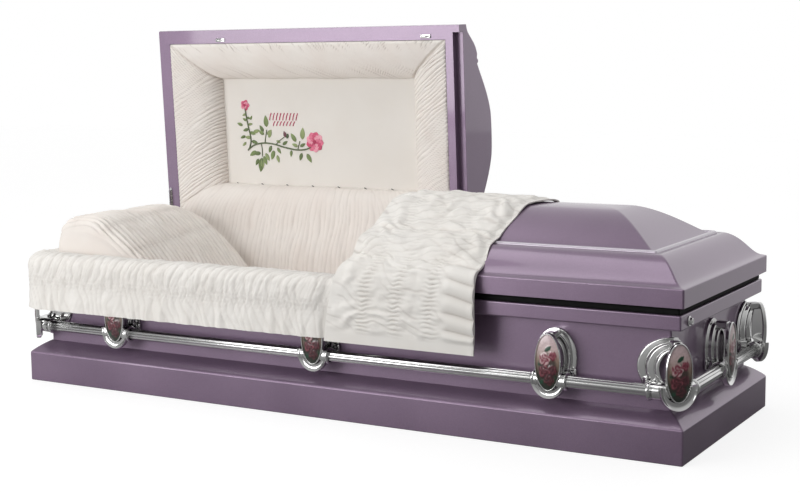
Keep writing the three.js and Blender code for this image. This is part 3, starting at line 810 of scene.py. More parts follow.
@dataclass
class Assembly:
    """A group of pieces with shared finishes."""

    finishes: Finishes
    lay: Layout = LAYOUT

    def dress(self, made: bpy.types.Object, finish: bpy.types.Material, body: Body | None, slot: Slot,
              *nodes: str) -> bpy.types.Object:
        """Gives a piece its finish, body and the solids that it stands for.

        Args:
            made: The piece.
            finish: Its material.
            body: The body that it rides on, or none where it is bent or flattened instead.
            slot: The record's slot; not used.
            nodes: The CAD nodes that it replaces.

        Returns:
            The piece.
        """
        if not any(made.data.materials):
            made.data.materials.clear()
            made.data.materials.append(finish)
        if body is not None:
            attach(made, body.value)
        if nodes:
            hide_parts(*nodes)
        LOG.info("%s: %d faces", made.name, len(made.data.polygons))
        return made

    def dress_node(self, node: str, finish: bpy.types.Material) -> None:
        """Gives a carried-over CAD node a better finish."""
        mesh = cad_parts[node].data
        mesh.materials.clear()
        mesh.materials.append(finish)
        LOG.info("%s: CAD solid kept", node)


class RowTree:
    """Geometry Nodes that repeat a small shape along a line of points.

    The line's points carry a vector attribute named facing, which the shape's top follows.
    """

    def __init__(self, shape: RowShape, finish: bpy.types.Material) -> None:
        self.tree = bpy.data.node_groups.new(f"{shape.value}_row", "GeometryNodeTree")
        self.sockets: dict[str, str] = {}
        self._socket("Geometry", "INPUT", "NodeSocketGeometry")
        for name in ("Spacing", "Length", "Width", "Height"):
            self._socket(name, "INPUT", "NodeSocketFloat")
        self._socket("Seed", "INPUT", "NodeSocketInt")
        self._socket("Geometry", "OUTPUT", "NodeSocketGeometry")
        self._fill(shape, finish)

    def _socket(self, name: str, way: str, kind: str) -> None:
        """Adds a named input or output."""
        made = self.tree.interface.new_socket(name, in_out=way, socket_type=kind)
        if way == "INPUT":
            self.sockets[name] = made.identifier

    def _node(self, kind: str, settings: dict | None = None, inputs: dict | None = None) -> bpy.types.Node:
        """Adds a node, with its settings first."""
        made = self.tree.nodes.new(kind)
        for key, value in (settings or {}).items():
            setattr(made, key, value)
        for key, value in (inputs or {}).items():
            if isinstance(value, bpy.types.NodeSocket):
                self.tree.links.new(value, made.inputs[key])
            else:
                made.inputs[key].default_value = value
        return made

    def _fill(self, shape: RowShape, finish: bpy.types.Material) -> None:
        """Builds the nodes."""
        given = self._node("NodeGroupInput").outputs
        curve = self._node("GeometryNodeMeshToCurve", None, {0: given["Geometry"]})
        even = self._node("GeometryNodeResampleCurve", {"mode": "LENGTH"},
                          {"Curve": curve.outputs[0], "Length": given["Spacing"]})
        tangent = self._node("GeometryNodeInputTangent")
        facing = self._node("GeometryNodeInputNamedAttribute", {"data_type": "FLOAT_VECTOR"},
                            {"Name": "facing"})
        along = self._node("FunctionNodeAlignRotationToVector", {"axis": "X"},
                           {"Vector": tangent.outputs[0]})
        upright = self._node("FunctionNodeAlignRotationToVector", {"axis": "Z", "pivot_axis": "X"},
                             {"Rotation": along.outputs[0], "Vector": facing.outputs[0]})
        jitter = self._node("FunctionNodeRandomValue", {"data_type": "FLOAT"},
                            {2: 0.85, 3: 1.12, "Seed": given["Seed"]})
        size = self._node("ShaderNodeCombineXYZ", None,
                          {0: given["Length"], 1: given["Width"], 2: given["Height"]})
        varied = self._node("ShaderNodeVectorMath", {"operation": "SCALE"},
                            {0: size.outputs[0], "Scale": jitter.outputs[1]})
        scale = size if shape is RowShape.SCREW else varied
        placed = self._node("GeometryNodeInstanceOnPoints", None, {
            "Points": even.outputs[0], "Instance": self._shape(shape), "Rotation": upright.outputs[0],
            "Scale": scale.outputs[0],
        })
        real = self._node("GeometryNodeRealizeInstances", None, {0: placed.outputs[0]})
        rounded = self._node("GeometryNodeSetShadeSmooth", None, {0: real.outputs[0]})
        dressed = self._node("GeometryNodeSetMaterial", None,
                             {"Geometry": rounded.outputs[0], "Material": finish})
        self._node("NodeGroupOutput", None, {0: dressed.outputs[0]})

    def _shape(self, shape: RowShape) -> bpy.types.NodeSocket:
        """The repeated shape, one unit long, wide and high."""
        if shape is RowShape.SCREW:
            head = self._node("GeometryNodeMeshCylinder", None,
                              {"Vertices": 14, "Radius": 0.5, "Depth": 1.0})
            return head.outputs[0]
        bead = self._node("GeometryNodeMeshUVSphere", None, {"Segments": 10, "Rings": 6, "Radius": 0.5})
        lying = self._node("GeometryNodeTransform", None,
                           {"Geometry": bead.outputs[0], "Rotation": (0.0, math.pi / 2, 0.0)})
        return lying.outputs[0]

    def grow(self, name: str, lines: Sequence[tuple[Array, Array]], sizes: dict[str, float],
             seed: int) -> bpy.types.Object:
        """Makes the row on one or more lines.

        Args:
            name: The piece's name.
            lines: Points in millimetres of each line, with the way that each point faces.
            sizes: Spacing, Length, Width and Height in millimetres.
            seed: For the sizes' jitter.

        Returns:
            The finished mesh object.
        """
        points = np.concatenate([line for line, _ in lines]) * MM
        facing = np.concatenate([np.broadcast_to(way, line.shape) for line, way in lines])
        edges, start = [], 0
        for line, _ in lines:
            edges += [(start + k, start + k + 1) for k in range(len(line) - 1)]
            start += len(line)
        mesh = bpy.data.meshes.new(name)
        mesh.from_pydata(points.tolist(), edges, [])
        mesh.attributes.new("facing", "FLOAT_VECTOR", "POINT").data.foreach_set(
            "vector", facing.astype(np.float32).ravel())
        made = bpy.data.objects.new(name, mesh)
        bpy.context.scene.collection.objects.link(made)
        grown = made.modifiers.new("row", "NODES")
        grown.node_group = self.tree
        for key, value in sizes.items():
            grown[self.sockets[key]] = value * MM
        grown[self.sockets["Seed"]] = seed
        return settled(made)


@dataclass
class SteelBody(Assembly):
    """The base moulding, pan, walls, rail and seal."""

    base_face: float = 87.5
    flange: float = 30.0
    corner: float = 5.0
    rail_inset: float = 14.0
    rail_inner: float = 52.0
    seal_inset: float = 20.0
    seal_width: float = 12.0

    def build(self) -> None:
        """Builds and dresses the pieces."""
        lay, paint = self.lay, self.finishes.paint
        wall, thin = lay.wall_inset, lay.sheet
        slope = bezier((2, self.base_face + 4), (14, 103), (32, 116), (wall - 2, lay.base_top), 14)
        under = [(i + 0.6 * thin, z - 1.1 * thin) for i, z in slope[::-1] if i < wall - 4]
        base = [(self.flange, 0.0), (0.0, 0.0), (0.0, self.base_face), *slope,
                (wall - 0.3, lay.base_top), (wall - 0.3, lay.base_top - 4), *under,
                (thin, self.base_face - 2), (thin, thin), (self.flange, thin)]
        self._swept("base_moulding", base, paint, Slot.PAINT, 3.0)
        pan = box_shell((-(lay.half_l - self.flange - 0.3), -(lay.half_w - self.flange - 0.3), 0.0),
                        (lay.half_l - self.flange - 0.3, lay.half_w - self.flange - 0.3, thin))
        self.dress(pan.build("bottom_plate"), paint, Body.BOX, Slot.PAINT, "bottom_pan")
        walls = [(wall, thin + 0.3), (wall + thin, thin + 0.3), (wall + thin, lay.rail_low - 0.3),
                 (wall, lay.rail_low - 0.3)]
        self._swept("body_shell", walls, paint, Slot.PAINT, 0.4)
        low, top, inner, out = lay.rail_low, lay.rail_top, self.rail_inner, self.rail_inset
        rail = [(inner, low), (inner, low + thin), (out + thin, low + thin), (out + thin, top - thin),
                (inner - thin, top - thin), (inner - thin, top - 14), (inner, top - 14), (inner, top),
                (out, top), (out, low)]
        self._swept("body_rail", rail, paint, Slot.PAINT, 4.5)
        near, far = self.seal_inset, self.seal_inset + self.seal_width
        seal = [(near, top + 0.3), (far, top + 0.3), (far, top + 8), (far - 2, lay.lid_low - 0.3),
                (near + 2, lay.lid_low - 0.3), (near, top + 8)]
        self._swept("gasket", seal, self.finishes.rubber, Slot.RUBBER, 2.5)

    def _swept(self, node: str, section: Sequence[Point2], finish: bpy.types.Material, slot: Slot,
               rounding: float) -> None:
        """Carries a closed section of (inset, z) points round the casket and dresses it."""
        rings = np.array([self._loop(inset, z) for inset, z in fillet(section, rounding)])
        made = even_shading(Shells().loft(rings, wrap=True).build(f"{node}_visual"))
        self.dress(made, finish, Body.BOX, slot, node)

    def _loop(self, inset: float, z: float) -> list[tuple[float, float, float]]:
        """A rectangle with small rounded corners at an inset from the casket's outline."""
        half_l, half_w = self.lay.half_l - inset, self.lay.half_w - inset
        outline = [(-half_l, -half_w), (half_l, -half_w), (half_l, half_w), (-half_l, half_w)]
        return [(x, y, z) for x, y in fillet(outline, self.corner, 4)]


@dataclass
class SteelLid(Assembly):
    """One pressed lid: rim, ovolo, bead, hipped slope and crown, with its inner flange."""

    body: Body = Body.FOOT_LID
    rim: float = 47.0
    inset: float = 4.0
    ledge: float = 31.0
    bead_inset: float = 121.0
    bead: float = 7.0
    crown: float = 205.0
    corner: float = 5.0
    split_gap: float = 2.0
    split_flange: float = 27.0
    rabbet: tuple[float, float, float] = (23.0, 24.0, 27.0)
    gutter: tuple[float, float] = (20.0, 15.0)
    edge_end: float = 11.0
    skin_start: float = 13.0
    bead_base: float = 116.0

    @property
    def side(self) -> int:
        """-1 for the head lid and 1 for the foot lid."""
        return -1 if self.body is Body.HEAD_LID else 1

    @property
    def split(self) -> float:
        """Where the lid is cut, measured towards its hipped end."""
        return -self.lay.split_x if self.side < 0 else self.lay.split_x + self.split_gap

    def profile(self) -> list[Point2]:
        """The lid's outer section as (inset, height) from its lower edge to its crown."""
        turns = [math.pi * (1 - k / 10) for k in range(11)]
        bead = [(self.bead_inset + self.bead * math.cos(t), self.bead_base + self.bead * math.sin(t))
                for t in turns]
        corners = [(self.ledge, -20.0), (self.inset, -20.0), (self.inset, self.rim),
                   (self.ledge, self.rim + 5)]
        rim = fillet(corners, 3.5, 4)
        edge = [p for p in rim if p[1] > 10 and p[0] < self.edge_end]
        return [(self.inset, 0.0), (self.inset, 20.0), *edge,
                *bezier((14, self.rim + 2.4), (39, self.rim + 7), (58, 108), (100, 117), 20),
                (111, 114.6), *bead,
                *bezier((self.bead_inset + self.bead + 3, 117), (165, 136), (215, 178), (273, 197), 18),
                *bezier((285, 200.5), (305, 204), (325, 204.6), (self.lay.half_w, self.crown), 8)]

    def hollow(self) -> list[Point2]:
        """The lid's inner section, a sheet's thickness inside the outer one."""
        thin = self.lay.sheet + 0.5
        plain = [(i, v - thin) for i, v in self.profile()
                 if i >= self.skin_start and (i <= 100 or i > self.bead_inset + self.bead + 2)]
        skin = sorted([*plain, (self.bead_inset - self.bead - 4, 111.5)])
        return [(self.inset + 1.5, 1.5), (self.inset + 1.5, self.rim - 1), *skin]

    def _mass(self, profile: Sequence[Point2], split: float) -> Shells:
        """A closed solid of a section carried round the hipped end."""
        lay = self.lay
        rows = []
        for inset, height in profile:
            y, hip = lay.half_w - inset, lay.half_l - inset
            radius = min(self.corner, 0.9 * y)
            turns = np.linspace(-math.pi / 2, 0.0, 5)
            front = [(hip - radius + radius * math.cos(t), -y + radius + radius * math.sin(t))
                     for t in turns]
            path = [(split, -y), *front, *[(x, -w) for x, w in front[::-1]], (split, y)]
            rows.append([(self.side * x, w, lay.lid_low + height) for x, w in path])
        points = np.array(rows)
        count, cols = points.shape[:2]
        low = list(range(cols))[::-1]
        rise = [k * cols for k in range(count)]
        fall = [k * cols + cols - 1 for k in range(count - 1)][::-1]
        return Shells().add(points, grid_quads(count, cols), [low, [*rise, *fall]])

    def _block(self, from_x: float, to_x: float, reach: float, low: float, high: float) -> bpy.types.Object:
        """A cutting block, with x measured towards the hipped end."""
        ends = sorted((self.side * from_x, self.side * to_x))
        base = self.lay.lid_low
        return box_shell((ends[0], -reach, base + low), (ends[1], reach, base + high)).build("tool")

    def build(self) -> None:
        """Builds and dresses the shell, with the foot lid's gutter joined to it."""
        lay, head = self.lay, self.body is Body.HEAD_LID
        name = "head_lid_shell" if head else "foot_lid_shell"
        shell = self._welded(self._mass(self.profile(), self.split).build(f"{name}_visual"))
        inner = self._welded(self._mass(self.hollow(), self.split + lay.sheet).build("hollow"))
        reach = lay.half_w - self.rabbet[2]
        if head:
            wide, deep = self.rabbet[0], self.rabbet[1]
            cut = self._block(self.split - 5, self.split + wide, reach, -5, deep)
            combined(shell, [(cut, "DIFFERENCE")])
            grown = self._block(self.split - 5, self.split + wide + 1.5, reach + 1.5, -5, deep + 1.5)
            combined(inner, [(grown, "DIFFERENCE")])
        mouth = self._block(self.split + self.rabbet[0] + self.split_flange, lay.half_l - lay.flange_inner,
                            lay.half_w - lay.flange_inner, -5, 2.5)
        combined(shell, [(inner, "DIFFERENCE"), (mouth, "DIFFERENCE")])
        if not head:
            floor = self._block(self.split - self.gutter[0], self.split + 0.75, reach - 4, 4, 5.5)
            lip = self._block(self.split - self.gutter[0], self.split - self.gutter[0] + 1.5, reach - 4, 4,
                              4 + self.gutter[1])
            combined(shell, [(floor, "UNION"), (lip, "UNION")])
        self._edged(shell)
        self._paint_bead_highlight(shell)
        if head:
            self._swing(shell)
        self.dress(shell, self.finishes.paint, self.body, Slot.PAINT, name)

    def _paint_bead_highlight(self, made: bpy.types.Object) -> None:
        """Paints a highlight on the bead: its upward faces take the paler copy of the paint, on the closed
        lid.
        """
        made.data.materials.clear()
        made.data.materials.append(self.finishes.paint)
        made.data.materials.append(self.finishes.bead)
        low = self.lay.lid_low + self.bead_base - 1.5
        for face in made.data.polygons:
            x, y, z = (c / MM for c in face.center)
            inset = min(self.lay.half_w - abs(y), self.lay.half_l - abs(x))
            near = abs(inset - self.bead_inset) < self.bead
            face.material_index = 1 if near and z > low and face.normal.z > -0.2 else 0

    def _swing(self, made: bpy.types.Object) -> None:
        """Turns a piece of the closed head lid to its open place."""
        co = np.empty(len(made.data.vertices) * 3, np.float32)
        made.data.vertices.foreach_get("co", co)
        turned = self.lay.opened(co.reshape(-1, 3).astype(float) / MM) * MM
        made.data.vertices.foreach_set("co", turned.astype(np.float32).ravel())
        made.data.update()

    @staticmethod
    def _welded(made: bpy.types.Object) -> bpy.types.Object:
        """Merges points that lie together along the crown."""
        weld = made.modifiers.new("weld", "WELD")
        weld.merge_threshold = 0.00002
        return settled(made)

    @staticmethod
    def _edged(made: bpy.types.Object) -> None:
        """Rounds the cut edges and shades the pressed curves smoothly."""
        edge = made.modifiers.new("edge", "BEVEL")
        edge.width, edge.segments, edge.limit_method = 0.0011, 2, "ANGLE"
        edge.angle_limit = math.radians(38)
        edge.use_clamp_overlap = True
        settled(made)
        made.data.polygons.foreach_set("use_smooth", np.ones(len(made.data.polygons), bool))
        made.data.set_sharp_from_angle(angle=math.radians(40))
        even_shading(made)


@dataclass
class LidLining(Assembly):
    """The head lid's cap panel, padded rolls and the skirt that hangs to the back wall."""

    side_roll: float = 150.0
    front_roll: float = 117.0
    noise: Noise = field(default_factory=lambda: Noise(21))

    def build(self) -> None:
        """Builds and dresses the pieces."""
        self._roll("lid_roll_head", (-1, 1), (-1, -1), 13.0, 460)
        self._roll("lid_roll_split", (1, -1), (1, 1), 13.0, 460)
        self._roll("lid_roll_front", (-1, -1), (1, -1), 30.0, 600)
        self._panel()
        self._skirt()

    @property
    def bound(self) -> dict[str, float]:
        """Edges of the lining inside the lid's flange, on the closed lid."""
        lay = self.lay
        return {"left": -(lay.half_l - lay.flange_inner) + 1, "right": lay.split_x - 51,
                "front": -(lay.half_w - lay.flange_inner) + 1, "back": lay.half_w - lay.flange_inner - 1}

    def _corner(self, share: Array, corner: tuple[int, int]) -> Array:
        """Points on a mitre, from the flange at share 0 to the panel at share 1."""
        b = self.bound
        x = b["left"] + share * self.side_roll if corner[0] < 0 else b["right"] - share * self.side_roll
        y = b["front"] + share * self.front_roll if corner[1] < 0 else b["back"] - share * self.front_roll
        return np.stack([x, y], axis=-1)

    def _section(self, rows: int) -> tuple[Array, Array]:
        """Shares across a roll and its heights above the flange, from the flange to the panel."""
        turn = np.linspace(0.0, math.pi / 2, rows)
        return np.sin(turn), 1.5 + (self.lay.panel_depth - 4) * (1 - np.cos(turn))

    def _roll(self, node: str, start: tuple[int, int], end: tuple[int, int], pitch: float,
              cols: int) -> None:
        """Builds one padded roll between two mitres."""
        rows = 34
        share, rise = self._section(rows)
        low, high = self._corner(share, start), self._corner(share, end)
        t = np.linspace(0.0, 1.0, cols)[None, :, None]
        plan = low[:, None] * (1 - t) + high[:, None] * t
        level = np.broadcast_to((self.lay.lid_low + rise)[:, None, None], (rows, cols, 1))
        base = np.concatenate([plan, level], -1)
        along = np.linalg.norm(plan - plan[:, :1], axis=-1) + 14 * share[:, None]
        depth = np.broadcast_to((share * 150)[:, None], along.shape)
        ends = np.minimum(t[..., 0], 1 - t[..., 0]) * np.linalg.norm(high - low, axis=-1)[:, None]
        seam = smoothstep(0.0, 12.0, ends)
        edge = smoothstep(0.0, 0.05, share)[:, None]
        if pitch < 20:
            gathers = self.noise.puffs(along, depth, pitch, 60.0, 0.55)
            minor = self.noise.puffs(along + 300, depth, 0.55 * pitch, 45.0, 0.6)
            fade = 0.75 + 0.25 * self.noise.at(along / 60, depth / 40)
            height = (5.2 * gathers**0.6 + 1.6 * minor) * fade
            crease = (1 - gathers) ** 3 * (0.6 + 0.6 * fade)
        else:
            curl = along - 34 * smoothstep(0.55, 1.0, share)[:, None]
            ends_only = 0.12 + 0.88 * smoothstep(0.55, 0.9, share)[:, None]
            crease = self.noise.creases(curl, depth, pitch, 60.0, 0.14) * ends_only
            fine = self.noise.puffs(curl, depth, 11.0, 50.0, 0.7) * ends_only
            at_flange = (1 - smoothstep(0.12, 0.3, share))[:, None]
            stub = self.noise.creases(along, depth, 17.0, 30.0, 0.16) * at_flange
            cloud = self.noise.cloud(along / 70, depth / 60)
            height = 4.6 - 3.0 * crease + 1.2 * fine + 1.6 * cloud - 3.4 * stub
            crease = np.clip(0.6 * crease + 0.9 * stub + 0.12 * (1 - fine) ** 2 * ends_only, 0, 1)
        height = (height * seam - 0.5 * (1 - seam)) * (0.35 + 0.65 * edge)
        normal = grid_normals(base)
        if normal[0, cols // 2, 2] > 0:
            normal = -normal
        face = base + normal * height[..., None]
        back = self._back(share, start, end, t)
        rings = np.concatenate([face, back], axis=0).transpose(1, 0, 2)
        # Painted shade: the crease depths, deeper along the mitre seams, darken the crepe through its tint.
        folds = np.concatenate([np.clip(crease + 0.25 * (1 - seam), 0, 1), np.zeros(back.shape[:2])]).T
        shade = np.repeat(folds[..., None], 3, axis=-1)
        made = Shells().loft(self.lay.opened(rings), colour=shade).build(f"{node}_visual", 75.0)
        self.dress(made, self.finishes.pink, Body.HEAD_LID, Slot.PINK_CREPE, node)

    def _back(self, share: Array, start: tuple[int, int], end: tuple[int, int], t: Array) -> Array:
        """The hidden back of a roll, from the panel to the flange."""
        spots = np.array([(1.0, 93.0), (0.5, 92.0), (0.2, 66.0), (0.0, 40.0)])
        low, high = self._corner(spots[:, 0], start), self._corner(spots[:, 0], end)
        plan = low[:, None] * (1 - t) + high[:, None] * t
        rise = np.broadcast_to((self.lay.lid_low + spots[:, 1])[:, None, None], (*plan.shape[:2], 1))
        return np.concatenate([plan, rise], -1)

    def _panel(self) -> None:
        """Builds the cap panel: a flat pad drawn down a little at its edges."""
        b = self.bound
        x = np.linspace(b["left"] + self.side_roll + 1, b["right"] - self.side_roll - 1, 80)
        y = np.linspace(b["front"] + self.front_roll + 1, b["back"] - self.front_roll - 1, 44)
        gx, gy = np.meshgrid(x, y)
        base = np.stack([gx, gy, np.full(gx.shape, self.lay.lid_low + self.lay.panel_depth)], -1)
        edge = np.minimum(np.minimum(gx - x[0], x[-1] - gx), np.minimum(gy - y[0], y[-1] - gy))
        height = 1.0 + 3.0 * smoothstep(0.0, 16.0, edge) + 0.5 * self.noise.cloud(gx / 160, gy / 120)
        made = Shells().cloth(self.lay.opened(base), height, 4.0, -1.0).build("lid_panel_visual", 75.0)
        self.dress(made, self.finishes.panel, Body.HEAD_LID, Slot.PINK_CREPE, "lid_panel")

    def _skirt(self) -> None:
        """Builds the gathered skirt from the panel's lower edge over the hinge to the bed."""
        b = self.bound
        corners = [(438, 562, 0.0), (418, 566, 0.05), (388, 562, 0.25), (364, 540, 0.5), (350, 505, 0.8),
                   (340, 465, 1.0), (328, 425, 1.0), (310, 392, 1.0), (296, 360, 1.0), (287, 310, 1.0),
                   (282, 244, 1.0)]
        path = smooth_path(corners, 70)
        cols = 360
        share = path[:, 2][:, None]
        left = b["left"] + (1 - share) * self.side_roll
        right = b["right"] - (1 - share) * self.side_roll
        t = np.linspace(0.0, 1.0, cols)[None, :]
        x = left * (1 - t) + right * t
        base = np.stack([x, *(np.broadcast_to(path[:, k:k + 1], x.shape) for k in (0, 1))], -1)
        down = np.broadcast_to(lengths_along(path[:, :2])[:, None], x.shape)
        spread = left[0] + t * (right[0] - left[0]) + 0 * x
        fan = spread + 0.35 * (x - spread)
        low = smoothstep(60.0, 170.0, down)
        fine = self.noise.puffs(fan, down, 14.0, 150.0, 0.6)
        broad = self.noise.puffs(fan + 500, down, 46.0, 180.0, 0.7)
        top = self.noise.creases(fan, down, 26.0, 80.0, 0.14)
        height = 3.0 + (2.0 * fine + 3.4 * broad * low) * (0.35 + 0.65 * low)
        height -= 1.5 * top * (1 - low) * smoothstep(4.0, 26.0, down)
        height += 1.8 * self.noise.cloud(fan / 90, down / 80)
        pinch = np.zeros_like(x)
        for k in range(8):
            place = left[0] + (right[0] - left[0]) * (0.06 + 0.134 * k)
            pinch += bump_at(0.0, 9.0, spread - place - 0.25 * down) * bump_at(8.0, 14.0, down)
        height -= 4.0 * pinch
        # Painted shade: an even share over the whole skirt, deeper in the low fine creases, the top creases
        # and the pinches.
        shade = 0.18 + (1 - fine) ** 2 * (0.08 + 0.3 * low) + 0.25 * top * (1 - low) + 0.5 * pinch
        shade = np.clip(shade, 0, 1)
        ends = np.minimum(t, 1 - t) * (right - left)
        height *= smoothstep(-2.0, 16.0, ends)
        cloth = Shells().cloth(base, height, 2.0, self._towards_front(base), shade[..., None])
        made = cloth.build("lid_skirt", 75.0)
        self.dress(made, self.finishes.pink, None, Slot.PINK_CREPE, "lid_roll_hinge")
        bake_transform(made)
        self._tucks(base, left[0, 0], right[0, 0])

    @staticmethod
    def _towards_front(base: Array) -> float:
        """1 or -1, so that a sheet's face looks to the front."""
        middle = grid_normals(base)[base.shape[0] // 2, base.shape[1] // 2]
        return 1.0 if middle[1] < 0 else -1.0

    def _tucks(self, base: Array, left: float, right: float) -> None:
        """Small near-black beads where the skirt is caught to the panel's lower edge: a painted shadow in
        the tucks.
        """
        lines = []
        for k in range(8):
            x = left + (right - left) * (0.06 + 0.134 * k)
            start = np.array([x - 4, 432.0, 568.5])
            lines.append((np.array([start, start + (7, -4, -2.0)]), np.array([0.0, -0.7, 0.7])))
        row = RowTree(RowShape.TUCK, self.finishes.tuck_shadow)
        sizes = {"Spacing": 20.0, "Length": 11.0, "Width": 3.0, "Height": 2.0}
        made = row.grow("skirt_tuck_shadows", lines, sizes, 3)
        self.dress(made, self.finishes.tuck_shadow, Body.HEAD_LID, Slot.PINK_CREPE)


@dataclass
class Embroidery(Assembly):
    """A sewn rose spray on the cap panel, with rows of plain strokes beside it."""

    height: float = 1.6
    lift: float = 1.0
    pinks: tuple[tuple[float, float, float], ...] = (
        linear(232, 120, 150), linear(214, 78, 118), linear(246, 168, 186), linear(196, 58, 100))
    greens: tuple[tuple[float, float, float], ...] = (
        linear(126, 146, 88), linear(150, 166, 110), linear(104, 124, 72))
    stem: tuple[float, float, float] = linear(98, 112, 78)

    def build(self) -> None:
        """Builds and dresses the motif."""
        shells = Shells()
        self._stems(shells)
        leaves = [(-790, -22, 200, 24), (-747, 2, -20, 28), (-781, 14, 160, 22), (-757, -42, -60, 16),
                  (-779, 36, 140, 20), (-704, -2, 235, 26), (-690, -18, 265, 40), (-684, 18, 300, 26),
                  (-716, 88, 100, 50), (-738, 66, 150, 32), (-700, 72, 60, 30), (-730, 92, 120, 26),
                  (-664, 62, 110, 34), (-652, 78, 75, 26), (-627, 41, -30, 24), (-572, 30, 235, 34),
                  (-546, 22, 275, 40), (-550, 68, 110, 28), (-530, 70, 60, 34), (-773, -62, 160, 17),
                  (-772, -50, 15, 17), (-771, -38, 205, 19), (-767, -26, -5, 19), (-766, -10, 165, 24),
                  (-761, 0, 20, 24), (-758, 20, 185, 24), (-756, 32, 10, 26), (-702, 8, 210, 26),
                  (-690, 8, -40, 26), (-720, 72, 175, 30), (-708, 82, 70, 32), (-714, 92, 95, 36),
                  (-674, 46, 115, 26), (-650, 52, 55, 24), (-566, 46, 200, 24), (-556, 46, -25, 24),
                  (-592, 60, 100, 22), (-636, 34, 200, 18)]
        for k, (x, y, turn, size) in enumerate(leaves):
            self._petal(shells, (x, y), turn, size, 0.46 * size, self.greens[k % 3], 0.0)
        self._rose(shells, (-776, -92), 24.0, 5)
        self._rose(shells, (-496, 30), 44.0, 9)
        self._petal(shells, (-612, 16), 250, 22, 13, linear(112, 64, 74), 0.4)
        self._petal(shells, (-608, 20), 285, 18, 10, linear(78, 96, 60), 0.6)
        self._strokes(shells)
        made = shells.build("sewn_roses", 60.0)
        self.dress(made, self.finishes.thread, Body.HEAD_LID, Slot.PINK_CREPE)

    def _placed(self, x: Array, y: Array, rise: Array) -> Array:
        """Puts points of the panel's plane, raised by rise, on the open lid."""
        z = self.lay.lid_low + self.lay.panel_depth - 4.0 - self.lift - rise
        return self.lay.opened(np.stack(np.broadcast_arrays(x, y, z), -1).astype(float))

    def _petal(self, shells: Shells, at: Point2, turn_deg: float, length: float, width: float,
               colour: tuple[float, float, float], raised: float) -> None:
        """One satin-stitched leaf or petal, pointed at its tip and ridged across by its threads."""
        u = np.linspace(0.0, 1.0, 11)[:, None]
        v = np.linspace(-1.0, 1.0, 7)[None, :]
        half = 0.5 * width * np.sin(math.pi * u**0.8) ** 0.8 + 0.15
        turn = math.radians(turn_deg)
        out, across = u * length, v * half
        x = at[0] + out * math.cos(turn) - across * math.sin(turn)
        y = at[1] + out * math.sin(turn) + across * math.cos(turn)
        rise = raised + self.height * (1 - 0.7 * v**4) * np.sin(math.pi * np.clip(u, 0.04, 0.96)) ** 0.5
        rise = rise - 0.5 * np.exp(-((v / 0.16) ** 2)) + 0.12 * np.sin(40 * u + 9 * v)
        tone = (0.82 + 0.3 * u + 0.1 * v)[..., None] * np.array(colour)
        face, back = self._placed(x, y, rise), self._placed(x, y, 0 * rise - 0.4)
        self._patch(shells, face, back, tone)

    @staticmethod
    def _patch(shells: Shells, face: Array, back: Array, tone: Array) -> None:
        """Adds a closed patch with a face and a flat back."""
        rings = np.concatenate([face, back[:, ::-1]], axis=1)
        shells.loft(rings, colour=np.concatenate([tone, tone[:, ::-1]], axis=1))

    def _rose(self, shells: Shells, at: Point2, size: float, petals: int) -> None:
        """A generic open rose of overlapping petals round a coiled heart."""
        for ring, (reach, share) in enumerate(((1.0, 1.0), (0.72, 0.85), (0.42, 0.6))):
            for k in range(petals):
                turn = 360 * k / petals + 23 * ring
                angle = math.radians(turn)
                radius = 0.30 * size * reach
                spot = (at[0] + radius * math.cos(angle), at[1] + radius * math.sin(angle))
                tone = self.pinks[(k + ring) % 3]
                length, width = 0.5 * size * share, 0.62 * size * share
                self._petal(shells, spot, turn + 8, length, width, tone, 0.5 * ring)
        for k in range(4):
            self._petal(shells, at, 90 * k + 20, 0.2 * size, 0.18 * size, self.pinks[3], 1.6)

    def _stems(self, shells: Shells) -> None:
        """The stems, as thin rounded cords of thread."""
        runs = [([(-776, -82), (-774, -60), (-768, -24), (-757, 20), (-760, 45), (-772, 64)], 2.2),
                ([(-772, 62), (-752, 47), (-730, 40), (-700, 36), (-660, 40), (-627, 49), (-580, 58),
                  (-540, 58), (-512, 48)], 2.6),
                ([(-655, 42), (-640, 28), (-620, 16)], 1.5), ([(-716, 40), (-712, 62), (-714, 84)], 1.5),
                ([(-700, 38), (-696, 14), (-690, -8)], 1.5), ([(-566, 58), (-562, 44), (-556, 28)], 1.5)]
        for points, radius in runs:
            path = smooth_path(points, 30)
            centre = self._placed(path[:, 0], path[:, 1], np.full(30, 0.5))
            tube = tube_shell(centre, radius, 8)
            shells.add(tube.points[0], tube.quads[0], tube.caps, np.array(self.stem))

    def _strokes(self, shells: Shells) -> None:
        """Two rows of slanting strokes in pink thread, which spell nothing."""
        for row, (y, size) in enumerate(((-66, 24), (-38, 15))):
            for k in range(9 - 2 * row):
                x = -676 + 13.5 * k + 14 * row
                path = smooth_path([(x, y + size), (x + 3, y + 0.4 * size), (x + 8, y)], 10)
                centre = self._placed(path[:, 0], path[:, 1], np.full(10, 0.4))
                tube = tube_shell(centre, 1.5, 8)
                shells.add(tube.points[0], tube.quads[0], tube.caps, np.array(self.pinks[1]))


